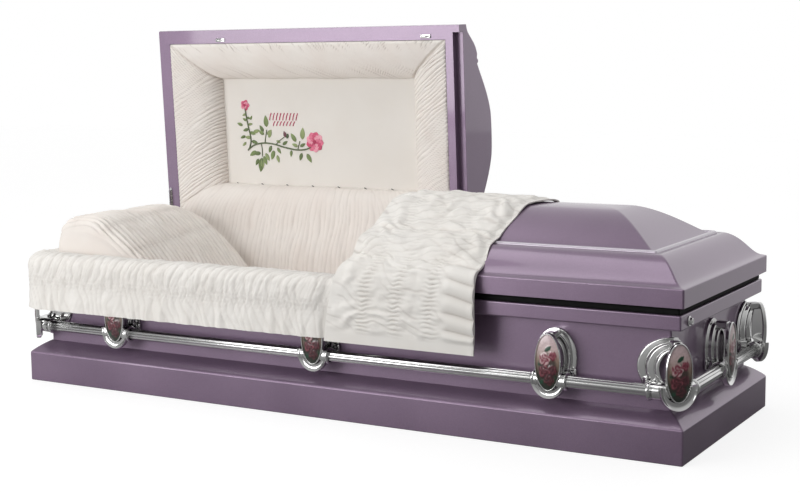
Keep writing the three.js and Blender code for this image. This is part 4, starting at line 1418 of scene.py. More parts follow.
@dataclass
class Bedding(Assembly):
    """The bed, pillow, wall linings and the foot lid's lining."""

    pillow_half: float = 283.0
    noise: Noise = field(default_factory=lambda: Noise(37))

    def build(self) -> None:
        """Builds and dresses the pieces."""
        self._bed()
        self._pillow()
        self._lining("lining_front", (-1001, -303), (1001, -303), (0, 1))
        self._lining("lining_back", (1001, 303), (-1001, 303), (0, -1))
        self._lining("lining_head", (-1014.5, 303), (-1014.5, -303), (1, 0))
        self._lining("lining_foot", (1014.5, -303), (1014.5, 303), (-1, 0))
        self._foot_lining()

    def _cushion(self, node: str, low: Sequence[float], high: Sequence[float], crown: Array, down: bool,
                 shape: tuple[int, int], body: Body, fill: float) -> None:
        """Builds a pad between two corners whose face is crowned and gathered."""
        rows, cols = shape
        x = np.linspace(low[0], high[0], cols)
        y = np.linspace(low[1], high[1], rows)
        gx, gy = np.meshgrid(x, y)
        edge = np.minimum(np.minimum(gx - x[0], x[-1] - gx), np.minimum(gy - y[0], y[-1] - gy))
        drop = 1 - np.sqrt(np.clip(1 - (1 - np.clip(edge / 28.0, 0, 1)) ** 2, 0, 1))
        face = high[2] - crown - 24 * drop if not down else low[2] + crown + 24 * drop
        back = low[2] if not down else high[2]
        rings = np.concatenate([
            np.stack([gx, gy, face], -1), np.stack([gx, gy, np.full(gx.shape, back)], -1)[:, ::-1]], axis=1)
        made = Shells().loft(rings).build(f"{node}_visual", 75.0)
        self.dress(made, self.finishes.pink, body, Slot.PINK_CREPE, node)

    def _bed(self) -> None:
        """The mattress, gathered in soft rows across its width."""
        low, high = (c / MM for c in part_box("bed"))
        rows, cols = 48, 220
        gx, gy = np.meshgrid(np.linspace(low.x, high.x, cols), np.linspace(low.y, high.y, rows))
        gathers = self.noise.puffs(gx, gy, 34.0, 160.0, 0.7)
        crown = 9.0 - 5.0 * gathers + 3.0 * self.noise.cloud(gx / 160, gy / 150)
        self._cushion("bed", low, high, crown, False, (rows, cols), Body.BOX, 0.6)

    def _foot_lining(self) -> None:
        """The foot lid's lining, gathered across."""
        low, high = (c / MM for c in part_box("foot_lid_lining"))
        rows, cols = 40, 110
        gx, gy = np.meshgrid(np.linspace(low.x, high.x, cols), np.linspace(low.y, high.y, rows))
        gathers = self.noise.puffs(gx, gy, 24.0, 120.0, 0.6)
        crown = 6.0 - 4.0 * gathers + 2.0 * self.noise.cloud(gx / 120, gy / 120)
        self._cushion("foot_lid_lining", low, high, crown, True, (rows, cols), Body.FOOT_LID, 0.5)

    def _lining(self, node: str, start: Point2, end: Point2, inward: Point2) -> None:
        """A wall lining, hung in fine upright gathers."""
        low, high = (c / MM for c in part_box(node))
        span = math.dist(start, end)
        cols, rows = int(span / 8.0), 18
        t = np.linspace(0.0, 1.0, cols)[None, :]
        z = np.linspace(low.z, high.z, rows)[:, None]
        x = start[0] + (end[0] - start[0]) * t + 3.0 * inward[0] + 0 * z
        y = start[1] + (end[1] - start[1]) * t + 3.0 * inward[1] + 0 * z
        base = np.stack([x, y, z + 0 * x], -1)
        along = t * span + 0 * z
        height = 1.2 + 4.2 * self.noise.puffs(along, z + 0 * x, 34.0, 110.0, 0.6)
        height += 2.4 * self.noise.cloud(along / 70, z / 90 + 0 * x)
        height *= 0.5 + 0.5 * smoothstep(0.0, 14.0, high.z - z)
        middle = grid_normals(base)[rows // 2, cols // 2]
        side = 1.0 if middle[0] * inward[0] + middle[1] * inward[1] > 0 else -1.0
        made = Shells().cloth(base, np.clip(height, 0.2, 9.0), 1.5, side).build(f"{node}_visual", 75.0)
        self.dress(made, self.finishes.pink, Body.BOX, Slot.PINK_CREPE, node)

    def _pillow(self) -> None:
        """The wedge pillow: a shirred top between smooth side gussets."""
        bed = self.lay.bed_top
        top = [(-628, bed + 6), (-616, bed + 34), (-650, 322), (-738, 410), (-822, 470), (-886, 497),
               (-935, 507), (-985, 505), (-1022, 496), (-1037, 468), (-1036, 432), (-1022, 414),
               (-1002, 408), (-997, 380)]
        upper = smooth_path(top, 130)
        under = [(-997, 380), (-996, bed + 14), (-984, bed + 1), (-640, bed + 1), (-628, bed + 6)]
        lower = smooth_path(under, 26)
        middle = np.array([-850.0, bed + 60])
        rows = 300
        share = np.sin(np.linspace(-math.pi / 2, math.pi / 2, rows))
        share = 0.35 * share + 0.65 * np.linspace(-1.0, 1.0, rows)
        scale = np.sqrt(np.clip(1 - 0.93 * np.abs(share) ** 9, 0.0, 1.0))[:, None]
        section = np.concatenate([upper, lower[1:-1]])
        x = middle[0] + (section[:, 0] - middle[0])[None, :] * (0.6 + 0.4 * scale)
        z = np.maximum(bed + 0.5, middle[1] + (section[:, 1] - middle[1])[None, :] * scale)
        y = np.broadcast_to((share * self.pillow_half)[:, None], x.shape)
        base = np.stack([x, y, z], -1)
        count = len(upper)
        down = np.zeros(len(section))
        down[:count] = lengths_along(upper)[::-1]
        slope = np.broadcast_to(down[None, :], x.shape)
        fan = y + 0.16 * (slope - 60) * (1 + y / 500)
        shirr = self.noise.puffs(fan, slope, 21.0, 120.0, 0.6)
        fine = self.noise.puffs(fan + 210, slope, 10.0, 60.0, 0.7)
        rows_of_pucker = sum(bump_at(c, 15.0, slope + 0.12 * y) for c in (150.0, 285.0, 410.0))
        zigzag = np.abs(np.sin(math.pi * (slope / 9.0 + 0.5 * np.sin(y / 7.0)))) * np.abs(np.sin(y / 6.0))
        on_top = np.where(np.arange(len(section)) < count - 22, 1.0, 0.0)
        amount = smoothstep(-8.0, 30.0, 250.0 - np.abs(y)) * on_top
        height = amount * (9.0 * shirr**0.85 + 2.4 * fine - 5.0)
        height += amount * rows_of_pucker * (3.2 * zigzag - 2.4)
        height += amount * 3.0 * self.noise.cloud(y / 80, slope / 90)
        height -= 2.5 * bump_at(0.0, 5.0, np.abs(y) - 252.0) * on_top
        # Painted shade in the shirring creases and pucker rows, and an even share over the smooth side
        # gussets.
        shade = amount * np.clip(0.7 * (1 - shirr) ** 3 + 0.3 * rows_of_pucker * (1 - zigzag), 0, 1)
        shade += 0.3 * (1 - amount)
        normal = grid_normals(base)
        outward = base - np.stack([np.full(rows, middle[0]), share * self.pillow_half * 0.6,
                                   np.full(rows, middle[1])], -1)[:, None]
        flip = np.sign(np.einsum("ijk,ijk->ij", normal, outward))[..., None]
        face = base + normal * flip * height[..., None]
        tone = np.repeat(shade[..., None], 3, axis=-1)
        made = Shells().loft(face, colour=tone).build("pillow_visual", 75.0)
        self.dress(made, self.finishes.pink, Body.BOX, Slot.PINK_CREPE, "pillow")
        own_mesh(made)


@dataclass
class Extendover(Assembly):
    """The fabric band turned over the front rail and the head end."""

    end_x: float = 86.0
    back_y: float = 285.0
    corner: float = 84.0
    out: float = 21.0
    end_pull: float = 8.0
    tuck: float = 9.0
    noise: Noise = field(default_factory=lambda: Noise(53))

    def build(self) -> None:
        """Builds and dresses the band."""
        out = self.out
        over = [(-out, 234), (-out - 1, 300), (-out, 345), (-out + 1, 374), (-out + 8, 391), (0, 398),
                (26, 401), (48, 398), (60, 390), (66, 374)]
        path = smooth_path(over, 54)[::-1]
        runs = [self._run(inset) for inset in path[:, 0]]
        plan = np.array([points for points, _ in runs])
        rows, cols = plan.shape[:2]
        along = np.broadcast_to(runs[-1][1][None, :], (rows, cols))
        z = np.broadcast_to(path[:, 1][:, None], (rows, cols))
        base = np.concatenate([plan, z[..., None]], -1)
        down = np.broadcast_to(lengths_along(path)[:, None], (rows, cols))
        up = float(down[-1, 0]) - down
        height, shade = self._gathers(along, up)
        height *= 0.4 + 0.6 * smoothstep(0.0, 16.0, down)
        height *= 1 - 0.7 * self._tucked(plan[..., 0])
        height += 0.8 * (1 - smoothstep(9.0, 12.0, up))
        middle = grid_normals(base)[rows - 4, 40]
        side = 1.0 if middle[1] < 0 else -1.0
        cloth = Shells().cloth(base, np.clip(height, -1.0, 14.0), 2.0, side, shade[..., None])
        made = cloth.build("extendover_visual", 75.0)
        self.dress(made, self.finishes.white, Body.BOX, Slot.WHITE_CREPE, "extendover")
        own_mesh(made)

    def _gathers(self, along: Array, up: Array) -> tuple[Array, Array]:
        """Heights of the band's puckers, smocked row and hanging folds, and the depth of its painted crease
        shade.
        """
        noise = self.noise
        slant = along + 0.35 * up
        puckers = noise.puffs(slant, up, 30.0, 70.0, 0.8)
        small = noise.puffs(slant + 90, up, 12.0, 50.0, 0.8)
        crest = 3.0 * puckers + 1.4 * small + 2.6 * noise.cloud(along / 38, up / 34)
        row = bump_at(88.0, 24.0, up)
        smock = np.abs(np.sin(along / 4.2 + 1.5 * np.sin(up / 6.0)))
        smock = smock * np.abs(np.sin(up / 4.0 + noise.at(along / 20, 0 * up)))
        folds = 0.5 + 0.5 * np.sin(2 * math.pi * (along / 74 + 0.7 * noise.at(along / 120, up / 200)))
        creases = noise.puffs(along - 0.3 * up, up, 27.0, 90.0, 0.9)
        valance = (4.2 * folds**2 + 2.4 * creases) * (1 - smoothstep(20.0, 84.0, up))
        upper = smoothstep(70.0, 120.0, up)
        height = 2.5 + crest * (0.35 + 0.65 * upper) + valance + row * (3.4 * smock - 0.8)
        # Painted shade in the puckers' creases, the smocked row and the valance's creases.
        shade = 0.3 * (1 - small) ** 2 * upper + 0.45 * (1 - puckers) ** 2 * upper
        shade += 0.22 * row * (1 - smock) ** 2
        shade += 0.4 * (1 - creases) ** 2 * (1 - upper)
        return height, np.clip(shade, 0, 1)

    def _tucked(self, x: Array) -> Array:
        """1 where the band's end is tucked under the overlay cloth."""
        return smoothstep(14.0, 66.0, x)

    def _run(self, inset: float) -> tuple[Array, Array]:
        """Points along the front, the corner and the head end, with distances along the band."""
        lay = self.lay
        outer = float(1 - smoothstep(-8.0, 30.0, inset))
        left, front = -(lay.half_l - inset) + self.end_pull * outer, -(lay.half_w - inset)
        radius = max(6.0, self.corner - (inset + self.out))
        first = np.linspace(self.end_x, left + radius, 350)
        turns = np.linspace(0.0, math.pi / 2, 22)[1:-1]
        bend_x = left + radius - radius * np.sin(turns)
        bend_y = front + radius - radius * np.cos(turns)
        last = np.linspace(front + radius, self.back_y, 142)
        x = np.concatenate([first, bend_x, np.full(142, left)])
        y = np.concatenate([front + self.tuck * outer * self._tucked(first), bend_y, last])
        points = np.stack([x, y], -1)
        return points, lengths_along(points)


@dataclass
class Overlay(Assembly):
    """The overlay cloth laid on the foot lid and hanging over its front."""

    noise: Noise = field(default_factory=lambda: Noise(71))

    def build(self) -> None:
        """Builds and dresses the cloth."""
        corners = [(-379, 227), (-380, 300), (-379, 365), (-375, 402), (-367, 428), (-355, 443),
                   (-334, 450), (-315, 458), (-301, 483), (-280, 506), (-257, 513), (-236, 518),
                   (-216, 521), (-193, 534), (-143, 564), (-108, 586), (-84, 596), (-50, 602), (0, 604),
                   (40, 603), (62, 599), (74, 593)]
        rows, cols = 320, 116
        path = smooth_path(corners, rows)
        y, z = path[:, 0], path[:, 1]
        left = np.interp(z, [227, 300, 400, 430, 455], [50, 62, 80, 92, 108])
        left[y > -315] = 108.0
        right = np.interp(y, [-380, -340, -260, -200, -60, 74], [511, 511, 507, 506, 521, 552])
        t = np.linspace(0.0, 1.0, cols)[None, :]
        up = np.broadcast_to(lengths_along(path)[:, None], (rows, cols))
        wave = 3.0 * self.noise.at(up[:, 0] / 70, 0.5)
        x = left[:, None] * (1 - t) + (right + wave)[:, None] * t
        base = np.stack([x, np.broadcast_to(y[:, None], x.shape), np.broadcast_to(z[:, None], x.shape)], -1)
        height, shade = self._folds(x, up, t + 0 * x)
        cloth = Shells().cloth(base, height, 2.5, self._outward(base), shade[..., None])
        made = cloth.build("overlay_cloth", 75.0)
        self.dress(made, self.finishes.white, Body.FOOT_LID, Slot.WHITE_CREPE, "throw_cloth")

    @staticmethod
    def _outward(base: Array) -> float:
        """1 or -1, so that the cloth's face looks up and to the front."""
        middle = grid_normals(base)[base.shape[0] // 2, base.shape[1] // 2]
        return 1.0 if middle[2] > 0 else -1.0

    def _folds(self, x: Array, up: Array, t: Array) -> tuple[Array, Array]:
        """Heights of the cloth's shirred columns, pulled creases, pleats and puffs.

        Args:
            x: Place across the cloth, in millimetres.
            up: Distance from the hem.
            t: Share of the width, from the left edge.

        Returns:
            The heights, and how deep each point lies in painted crease shade.
        """
        noise = self.noise
        hang = 1 - smoothstep(215.0, 300.0, up)
        above = smoothstep(24.0, 46.0, up)
        sway = 0.03 * noise.at(up / 70, 0.3 + 0 * x) - 0.05 * (1 - t) * (1 - up / 300) * hang
        columns = np.clip(sum(bump_at(c, 0.043, t + sway) for c in (0.24, 0.47, 0.71)), 0, 1)
        tucks = noise.puffs(up, x, 12.0, 16.0, 0.3)
        drawn = np.minimum(np.abs(t - 0.355), np.abs(t - 0.59))
        phase = (up + 120 * drawn + 0.2 * x) / 62 + noise.at(x / 90, up / 60)
        pulled = 0.5 + 0.5 * np.sin(2 * math.pi * phase)
        line = noise.creases(up + 0.35 * x, x, 34.0, 55.0, 0.16)
        billow = 0.5 + 0.5 * np.sin(2 * math.pi * ((up + 0.3 * x) / 64 + 1.1 * noise.at(x / 70, up / 60)))
        ripple = noise.puffs(up - 0.2 * x, x, 30.0, 60.0, 0.9)
        between = 4.6 * pulled * hang + (6.4 * billow + 1.5 * ripple) * (1 - hang)
        between = between - 2.2 * line + 3.4 * noise.cloud(x / 52, up / 38)
        drawn_in = columns * (1.0 - 0.5 * (1 - hang))
        height = 2.0 + above * (drawn_in * (5.0 * tucks - 1.5) + (1 - 0.9 * drawn_in) * between)
        margin = smoothstep(0.77, 0.84, t) * above * hang
        pleats = noise.puffs(up + 0.12 * x, x, 44.0, 260.0, 0.6)
        height = height * (1 - margin) + margin * (1.5 + 9.0 * pleats**1.2)
        edge = smoothstep(0.0, 0.10, t) * (1 - (1 - hang) * smoothstep(0.93, 1.0, t))
        back = 1 - smoothstep(float(up.max()) - 60.0, float(up.max()), up)
        height = 1.0 + (height - 1.0) * (0.15 + 0.85 * edge) * (0.25 + 0.75 * back)
        height -= 8.0 * smoothstep(0.9, 1.0, t) * (1 - hang)
        roll = bump_at(0.985, 0.012, t) + 0.5 * bump_at(0.012, 0.01, t)
        # Painted shade in the tucks, pulled creases, ripples and margin pleats.
        shade = above * (0.7 * drawn_in * (1 - tucks) ** 1.5 + 0.45 * (1 - drawn_in) * line)
        shade += above * (1 - drawn_in) * (1 - hang) * 0.5 * (1 - ripple) ** 3
        shade = shade * (1 - margin) + margin * 0.9 * (1 - pleats) ** 3
        return np.clip(height + 1.2 * roll, -8.0, 17.0), np.clip(shade, 0, 1)


@dataclass
class BarHardware(Assembly):
    """Fluted carrying bars, the cast arms that hold them and the enamelled ovals in the arms."""

    bar_z: float = 178.0
    bar_radius: float = 16.0
    bar_out: float = 37.0
    flutes: int = 8
    medal_z: float = 227.0
    medal: Point2 = (32.0, 70.5)
    ear: Point2 = (58.0, 78.0)
    elbow: float = 61.0
    arm_x: float = 712.0
    steps: int = 56

    def build(self) -> None:
        """Builds and dresses the bars, arms, ovals and screws."""
        self._bars()
        side, side_front = self._side_arm(), -(self.bar_out + self.bar_radius + 6)
        corner, corner_front = self._corner_arm()
        oval = self._medallion()
        lay = self.lay
        spots = [(f"front_{k + 2}", k * self.arm_x, -lay.wall_y, 0) for k in (-1, 0, 1)]
        spots += [("foot_end", lay.wall_x, 0.0, 90), ("head_end", -lay.wall_x, 0.0, 270)]
        spots += [(f"back_{k + 2}", k * self.arm_x, lay.wall_y, 180) for k in (-1, 0, 1)]
        spots += [("corner_foot_front", lay.wall_x, -lay.wall_y, 45),
                  ("corner_foot_back", lay.wall_x, lay.wall_y, 135),
                  ("corner_head_back", -lay.wall_x, lay.wall_y, 225),
                  ("corner_head_front", -lay.wall_x, -lay.wall_y, 315)]
        screws = RowTree(RowShape.SCREW, self.finishes.steel)
        for name, x, y, turn in spots:
            at_corner = name.startswith("corner")
            matrix = Matrix.Translation((x, y, 0.0)) @ Matrix.Rotation(math.radians(turn), 4, "Z")
            cast = (corner if at_corner else side).moved(matrix)
            arm = even_shading(cast.build(f"arm_{name}_visual", 50.0))
            self.dress(arm, self.finishes.chrome, Body.BOX, Slot.CHROME, f"arm_{name}")
            front = Matrix.Translation((0.0, corner_front if at_corner else side_front, 0.0))
            medal = oval.moved(matrix @ front).build(f"medallion_{name}_visual", 60.0)
            self.dress(medal, self.finishes.enamel, Body.BOX, Slot.ENAMEL, f"medallion_{name}")
            self._screws(screws, name, matrix, at_corner)

    def _screws(self, row: RowTree, name: str, matrix: Matrix, at_corner: bool) -> None:
        """Two screws in the feet of an arm."""
        lines = []
        for side in (-1, 1):
            depth = 24.5 if at_corner else -11.0
            way = Vector((side * 0.7071, -0.7071, 0.0)) if at_corner else Vector((0.0, -1.0, 0.0))
            spot = Vector((side * 45.0, depth, 194.0))
            ends = [matrix @ spot, matrix @ (spot + Vector((0.0, 0.0, 2.0)))]
            facing = np.array(matrix.to_3x3() @ way)
            lines.append((np.array([list(p) for p in ends]), facing))
        sizes = {"Spacing": 9.0, "Length": 7.0, "Width": 7.0, "Height": 2.5}
        made = row.grow(f"screws_{name}", lines, sizes, 1)
        self.dress(made, self.finishes.steel, Body.BOX, Slot.CHROME)

    def _bars(self) -> None:
        """The four straight fluted bars."""
        lay = self.lay
        front = lay.half_l - lay.wall_inset + self.bar_out - self.elbow - 4
        end = lay.half_w - lay.wall_inset + self.bar_out - self.elbow - 4
        turn = 2 * np.pi * np.arange(self.flutes * 10) / (self.flutes * 10)
        ridge = np.abs(np.cos(self.flutes * turn / 2)) ** 0.9
        radius = self.bar_radius - 2.2 + 2.2 * ridge
        bars = (("bar_front", 0, front, lay.half_w), ("bar_foot", 90, end, lay.half_l),
                ("bar_back", 180, front, lay.half_w), ("bar_head", 270, end, lay.half_l))
        for name, angle, half, reach in bars:
            y = -(reach - lay.wall_inset + self.bar_out)
            rings = [np.column_stack([np.full(len(turn), x), y + k * radius * np.cos(turn),
                                      self.bar_z + k * radius * np.sin(turn)])
                     for x, k in ((-half, 0.9), (-half + 2, 1.0), (half - 2, 1.0), (half, 0.9))]
            shells = Shells().loft(np.array(rings)).moved(Matrix.Rotation(math.radians(angle), 4, "Z"))
            made = shells.build(f"{name}_visual", 60.0)
            self.dress(made, self.finishes.bar, Body.BOX, Slot.CHROME, name)

    def _oval(self, half_x: float, half_z: float, centre: float) -> Array:
        """Points round an oval as (x, z)."""
        turn = 2 * np.pi * np.arange(self.steps) / self.steps
        return np.stack([half_x * np.cos(turn), centre + half_z * np.sin(turn)], -1)

    def _oval_sweep(self, half: Point2, centre: float, section: Sequence[Point2], rounding: float) -> Array:
        """A closed section of (offset, y) points carried round an oval."""
        rings = []
        for offset, y in fillet(section, rounding, 2):
            ring = self._oval(half[0] + offset, half[1] + offset, centre)
            rings.append(np.column_stack([ring[:, 0], np.full(len(ring), y), ring[:, 1]]))
        return np.array(rings)

    def _ear(self) -> Array:
        """The stepped oval ring that stands on the wall."""
        section = [(0, 0), (0, -5), (-1.5, -7), (-10.5, -8), (-12, -7), (-12.5, -17), (-14, -19.5),
                   (-22, -20.5), (-23.5, -19), (-24, -27), (-25.5, -29), (-29, -29), (-30, -27), (-30, 0)]
        return self._oval_sweep(self.ear, self.medal_z + 4, section, 1.2)

    def _frame(self, front: float) -> Shells:
        """The thin rim round the enamel and the dished crescent under it."""
        rim = [(0.2, 4.0), (0.2, 0.5), (1.2, -1.6), (3.2, -1.6), (4.6, 1.0), (4.8, 9.0), (2.0, 10.0),
               (-3.0, 10.0), (-3.0, 4.0)]
        rings = self._oval_sweep(self.medal, self.medal_z, [(o, front + y) for o, y in rim], 0.8)
        shells = Shells().loft(rings, wrap=True)
        shells.loft(self._crescent(front))
        plate = self._oval(self.medal[0] - 1.0, self.medal[1] - 1.0, self.medal_z)
        return shells.loft(np.array([[(x, front + y, z) for x, z in plate] for y in (4.3, 9.5)]))

    def _crescent(self, front: float) -> Array:
        """Rings of the cup that goes from one bar entry under the oval to the other."""
        rings = []
        for turn in np.linspace(math.radians(176), math.radians(364), 49):
            c, s = math.cos(turn), math.sin(turn)
            inner = np.array([(self.medal[0] + 2.0) * c, self.medal_z - 39 + 33.5 * s])
            outer = np.array([50.0 * c, self.medal_z - 36 + 59.0 * s])
            lip = max(0.0, -s)
            section = [(0.0, 7.0), (0.08, 3.5), (0.35, 5.0), (0.62, 4.0), (0.8, 0.5), (0.92, -1.0),
                       (1.0, 1.5), (1.0, 12.0), (0.5, 15.0 + 4 * lip), (0.0, 13.0)]
            rings.append([(*((1 - k) * inner + k * outer), front + y) for k, y in section])
        found = np.array(rings)
        return found[..., [0, 2, 1]]

    def _sleeve(self, y: float, side: int, start: float) -> Array:
        """A flared collar round the bar where it enters the cup."""
        profile = [(0.0, 17.0), (0.0, 21.5), (9.0, 21.5), (11.0, 24.0), (15.0, 24.5), (17.5, 22.0),
                   (17.5, 17.0)]
        turn = 2 * np.pi * np.arange(28) / 28
        return np.array([np.column_stack([np.full(28, side * (start + x)), y + r * np.cos(turn),
                                          self.bar_z + r * np.sin(turn)])
                         for x, r in fillet(profile, 1.5, 2)])

    def _side_arm(self) -> Shells:
        """An arm on a side or end wall, with the wall at y = 0 and outward along -y."""
        bar = -self.bar_out
        front = bar - self.bar_radius - 6
        shells = self._frame(front)
        shells.loft(self._ear(), wrap=True)
        for side in (-1, 1):
            shells.loft(self._sleeve(bar, side, 31.0), wrap=True)
            foot = box_shell((side * 45 - 13, -10.0, 178.0), (side * 45 + 13, -0.2, 206.0), 4.0)
            shells.add(foot.points[0], foot.quads[0], foot.caps)
        for low, high, bevel in (((-20, bar, self.bar_z - 17), (20, -1.0, self.bar_z + 17), 6.0),
                                 ((-13, front + 8, 283), (13, -14.0, 303), 5.0)):
            strut = box_shell(low, high, bevel)
            shells.add(strut.points[0], strut.quads[0], strut.caps)
        body = self._sleeve_core(bar)
        return shells.loft(body, wrap=True)

    def _sleeve_core(self, y: float) -> Array:
        """The tube behind the cup that the bar passes through."""
        turn = 2 * np.pi * np.arange(28) / 28
        profile = [(-32.0, 16.6), (-32.0, 20.5), (32.0, 20.5), (32.0, 16.6)]
        return np.array([np.column_stack([np.full(28, x), y + r * np.cos(turn),
                                          self.bar_z + r * np.sin(turn)]) for x, r in profile])

    def _corner_arm(self) -> tuple[Shells, float]:
        """An arm on a corner, with the corner's edge at y = 0 and outward along -y.

        Returns:
            The arm and the y of its outer face.
        """
        middle = (self.elbow - self.bar_out) / math.sqrt(0.5)
        reach = self.elbow - middle
        front = -(reach + self.bar_radius + 5)
        shells = self._frame(front)
        ear = self._ear()
        ear[..., 0] *= 1.12
        ear[..., 1] += np.sqrt(ear[..., 0] ** 2 + 64.0) - 8.0 + 3.0
        shells.loft(ear, wrap=True)
        turn = 2 * np.pi * np.arange(28) / 28
        bends = np.concatenate([[-math.pi / 4], np.linspace(-math.pi / 4, math.pi / 4, 15), [math.pi / 4]])
        extra = np.concatenate([[-20.0], np.zeros(15), [20.0]])
        rings = []
        for bend, out in zip(bends, extra):
            across = self.elbow + 21.5 * np.cos(turn)
            rings.append(np.column_stack([across * math.sin(bend) + out * math.cos(bend),
                                          middle - across * math.cos(bend) + out * math.sin(bend),
                                          self.bar_z + 21.5 * np.sin(turn)]))
        shells.loft(np.array(rings))
        for side in (-1, 1):
            collar = self._sleeve(0.0, side, 3.0)
            local = collar.reshape(-1, 3)
            c = math.sqrt(0.5)
            start = np.array([side * self.elbow * c, middle - self.elbow * c])
            x = start[0] + local[:, 0] * c - side * local[:, 1] * c * -1
            y = start[1] + side * local[:, 0] * c + local[:, 1] * c * -1
            shells.loft(np.stack([x, y, local[:, 2]], -1).reshape(collar.shape), wrap=True)
            foot = box_shell((side * 45 - 12, 22.0, 178.0), (side * 45 + 12, 44.0, 206.0), 4.0)
            shells.add(foot.points[0], foot.quads[0], foot.caps)
        for low, high, bevel in (((-18, -reach, self.bar_z - 15), (18, 6.0, self.bar_z + 15), 5.0),
                                 ((-12, front + 8, 283), (12, -8.0, 304), 5.0)):
            strut = box_shell(low, high, bevel)
            shells.add(strut.points[0], strut.quads[0], strut.caps)
        return shells, front

    def _medallion(self) -> Shells:
        """A domed oval with generic roses in low relief, its face at y = 0."""
        rows, cols = 30, self.steps
        r = np.linspace(1.0, 0.02, rows)[:, None]
        turn = (2 * np.pi * np.arange(cols) / cols)[None, :]
        u, w = r * np.cos(turn), r * np.sin(turn)
        tint, relief = self._roses(u, w)
        dome = 1.5 - 4.0 * (1 - r**2) ** 0.8 - relief
        face = np.stack([self.medal[0] * u, dome, self.medal_z + self.medal[1] * w], -1)
        skirt = face[:1].copy()
        skirt[..., 1] = 3.7
        return Shells().loft(np.concatenate([skirt, face]), colour=np.concatenate([tint[:1], tint]))

    @staticmethod
    def _roses(u: Array, w: Array) -> tuple[Array, Array]:
        """Colours and relief of the painted roses over an oval from -1 to 1 both ways."""
        stops = [-1.0, -0.45, 0.1, 0.5, 1.0]
        shades = np.array([linear(26, 36, 26), linear(52, 52, 40), linear(150, 128, 112),
                           linear(214, 190, 188), linear(224, 200, 204)])
        tint = np.stack([np.interp(w + 0 * u, stops, shades[:, k]) for k in range(3)], -1)
        relief = np.zeros(np.broadcast_shapes(u.shape, w.shape))
        leaves = [(0.05, 0.50, 40, 0.34), (-0.62, -0.08, 160, 0.30), (0.62, -0.55, -40, 0.30),
                  (-0.5, -0.72, 200, 0.3)]
        for x, y, angle, size in leaves:
            a = math.radians(angle)
            du, dw = u - x, (w - y) * 2.2
            along, across = du * math.cos(a) + dw * math.sin(a), -du * math.sin(a) + dw * math.cos(a)
            inside = 1 - smoothstep(0.85, 1.15, (along / size) ** 2 + (across / (0.5 * size)) ** 2)
            vein = 0.7 + 0.5 * smoothstep(0.02, 0.1, np.abs(across))
            leaf = (inside * vein)[..., None] * np.array(linear(24, 74, 50))
            tint = tint * (1 - inside[..., None]) + leaf
            relief += 0.5 * inside
        reach = np.sqrt(((u - 0.04) / 0.86) ** 2 + ((w + 0.22) / 0.66) ** 2)
        bed = (1 - smoothstep(0.7, 1.0, reach))[..., None]
        tint = tint * (1 - 0.85 * bed) + 0.85 * bed * np.array(linear(48, 28, 26))
        roses = [(0.46, 0.26, 0.36, linear(116, 34, 54), linear(176, 104, 116)),
                 (-0.22, 0.12, 0.50, linear(132, 44, 66), linear(222, 190, 190)),
                 (0.44, -0.26, 0.42, linear(66, 16, 28), linear(118, 52, 64)),
                 (-0.26, -0.34, 0.52, linear(78, 20, 34), linear(146, 76, 86)),
                 (0.14, -0.62, 0.46, linear(56, 16, 24), linear(112, 54, 62))]
        for x, y, size, deep, pale in roses:
            du, dw = u - x, (w - y) * 2.2
            reach = np.sqrt(du**2 + dw**2) / size
            angle = np.arctan2(dw, du)
            edge = 1.0 + 0.09 * np.cos(5 * angle + 3 * x)
            inside = 1 - smoothstep(0.88 * edge, 1.05 * edge, reach)
            petal = 0.5 + 0.5 * np.cos(2.5 * angle + 9.0 * reach + 2 * np.sin(3 * angle + 5 * x))
            shade = np.clip(petal**1.6 * (0.25 + 0.8 * reach), 0, 1)[..., None]
            colour = np.array(deep) * (1 - shade) + np.array(pale) * shade
            tint = tint * (1 - inside[..., None]) + colour * inside[..., None]
            domed = 0.7 + 0.9 * petal * np.sqrt(np.clip(1 - reach**2, 0, 1))
            relief = relief * (1 - inside) + inside * domed
        fade = (1 - smoothstep(0.86, 1.0, np.sqrt(u**2 + w**2)))
        return tint, relief * fade


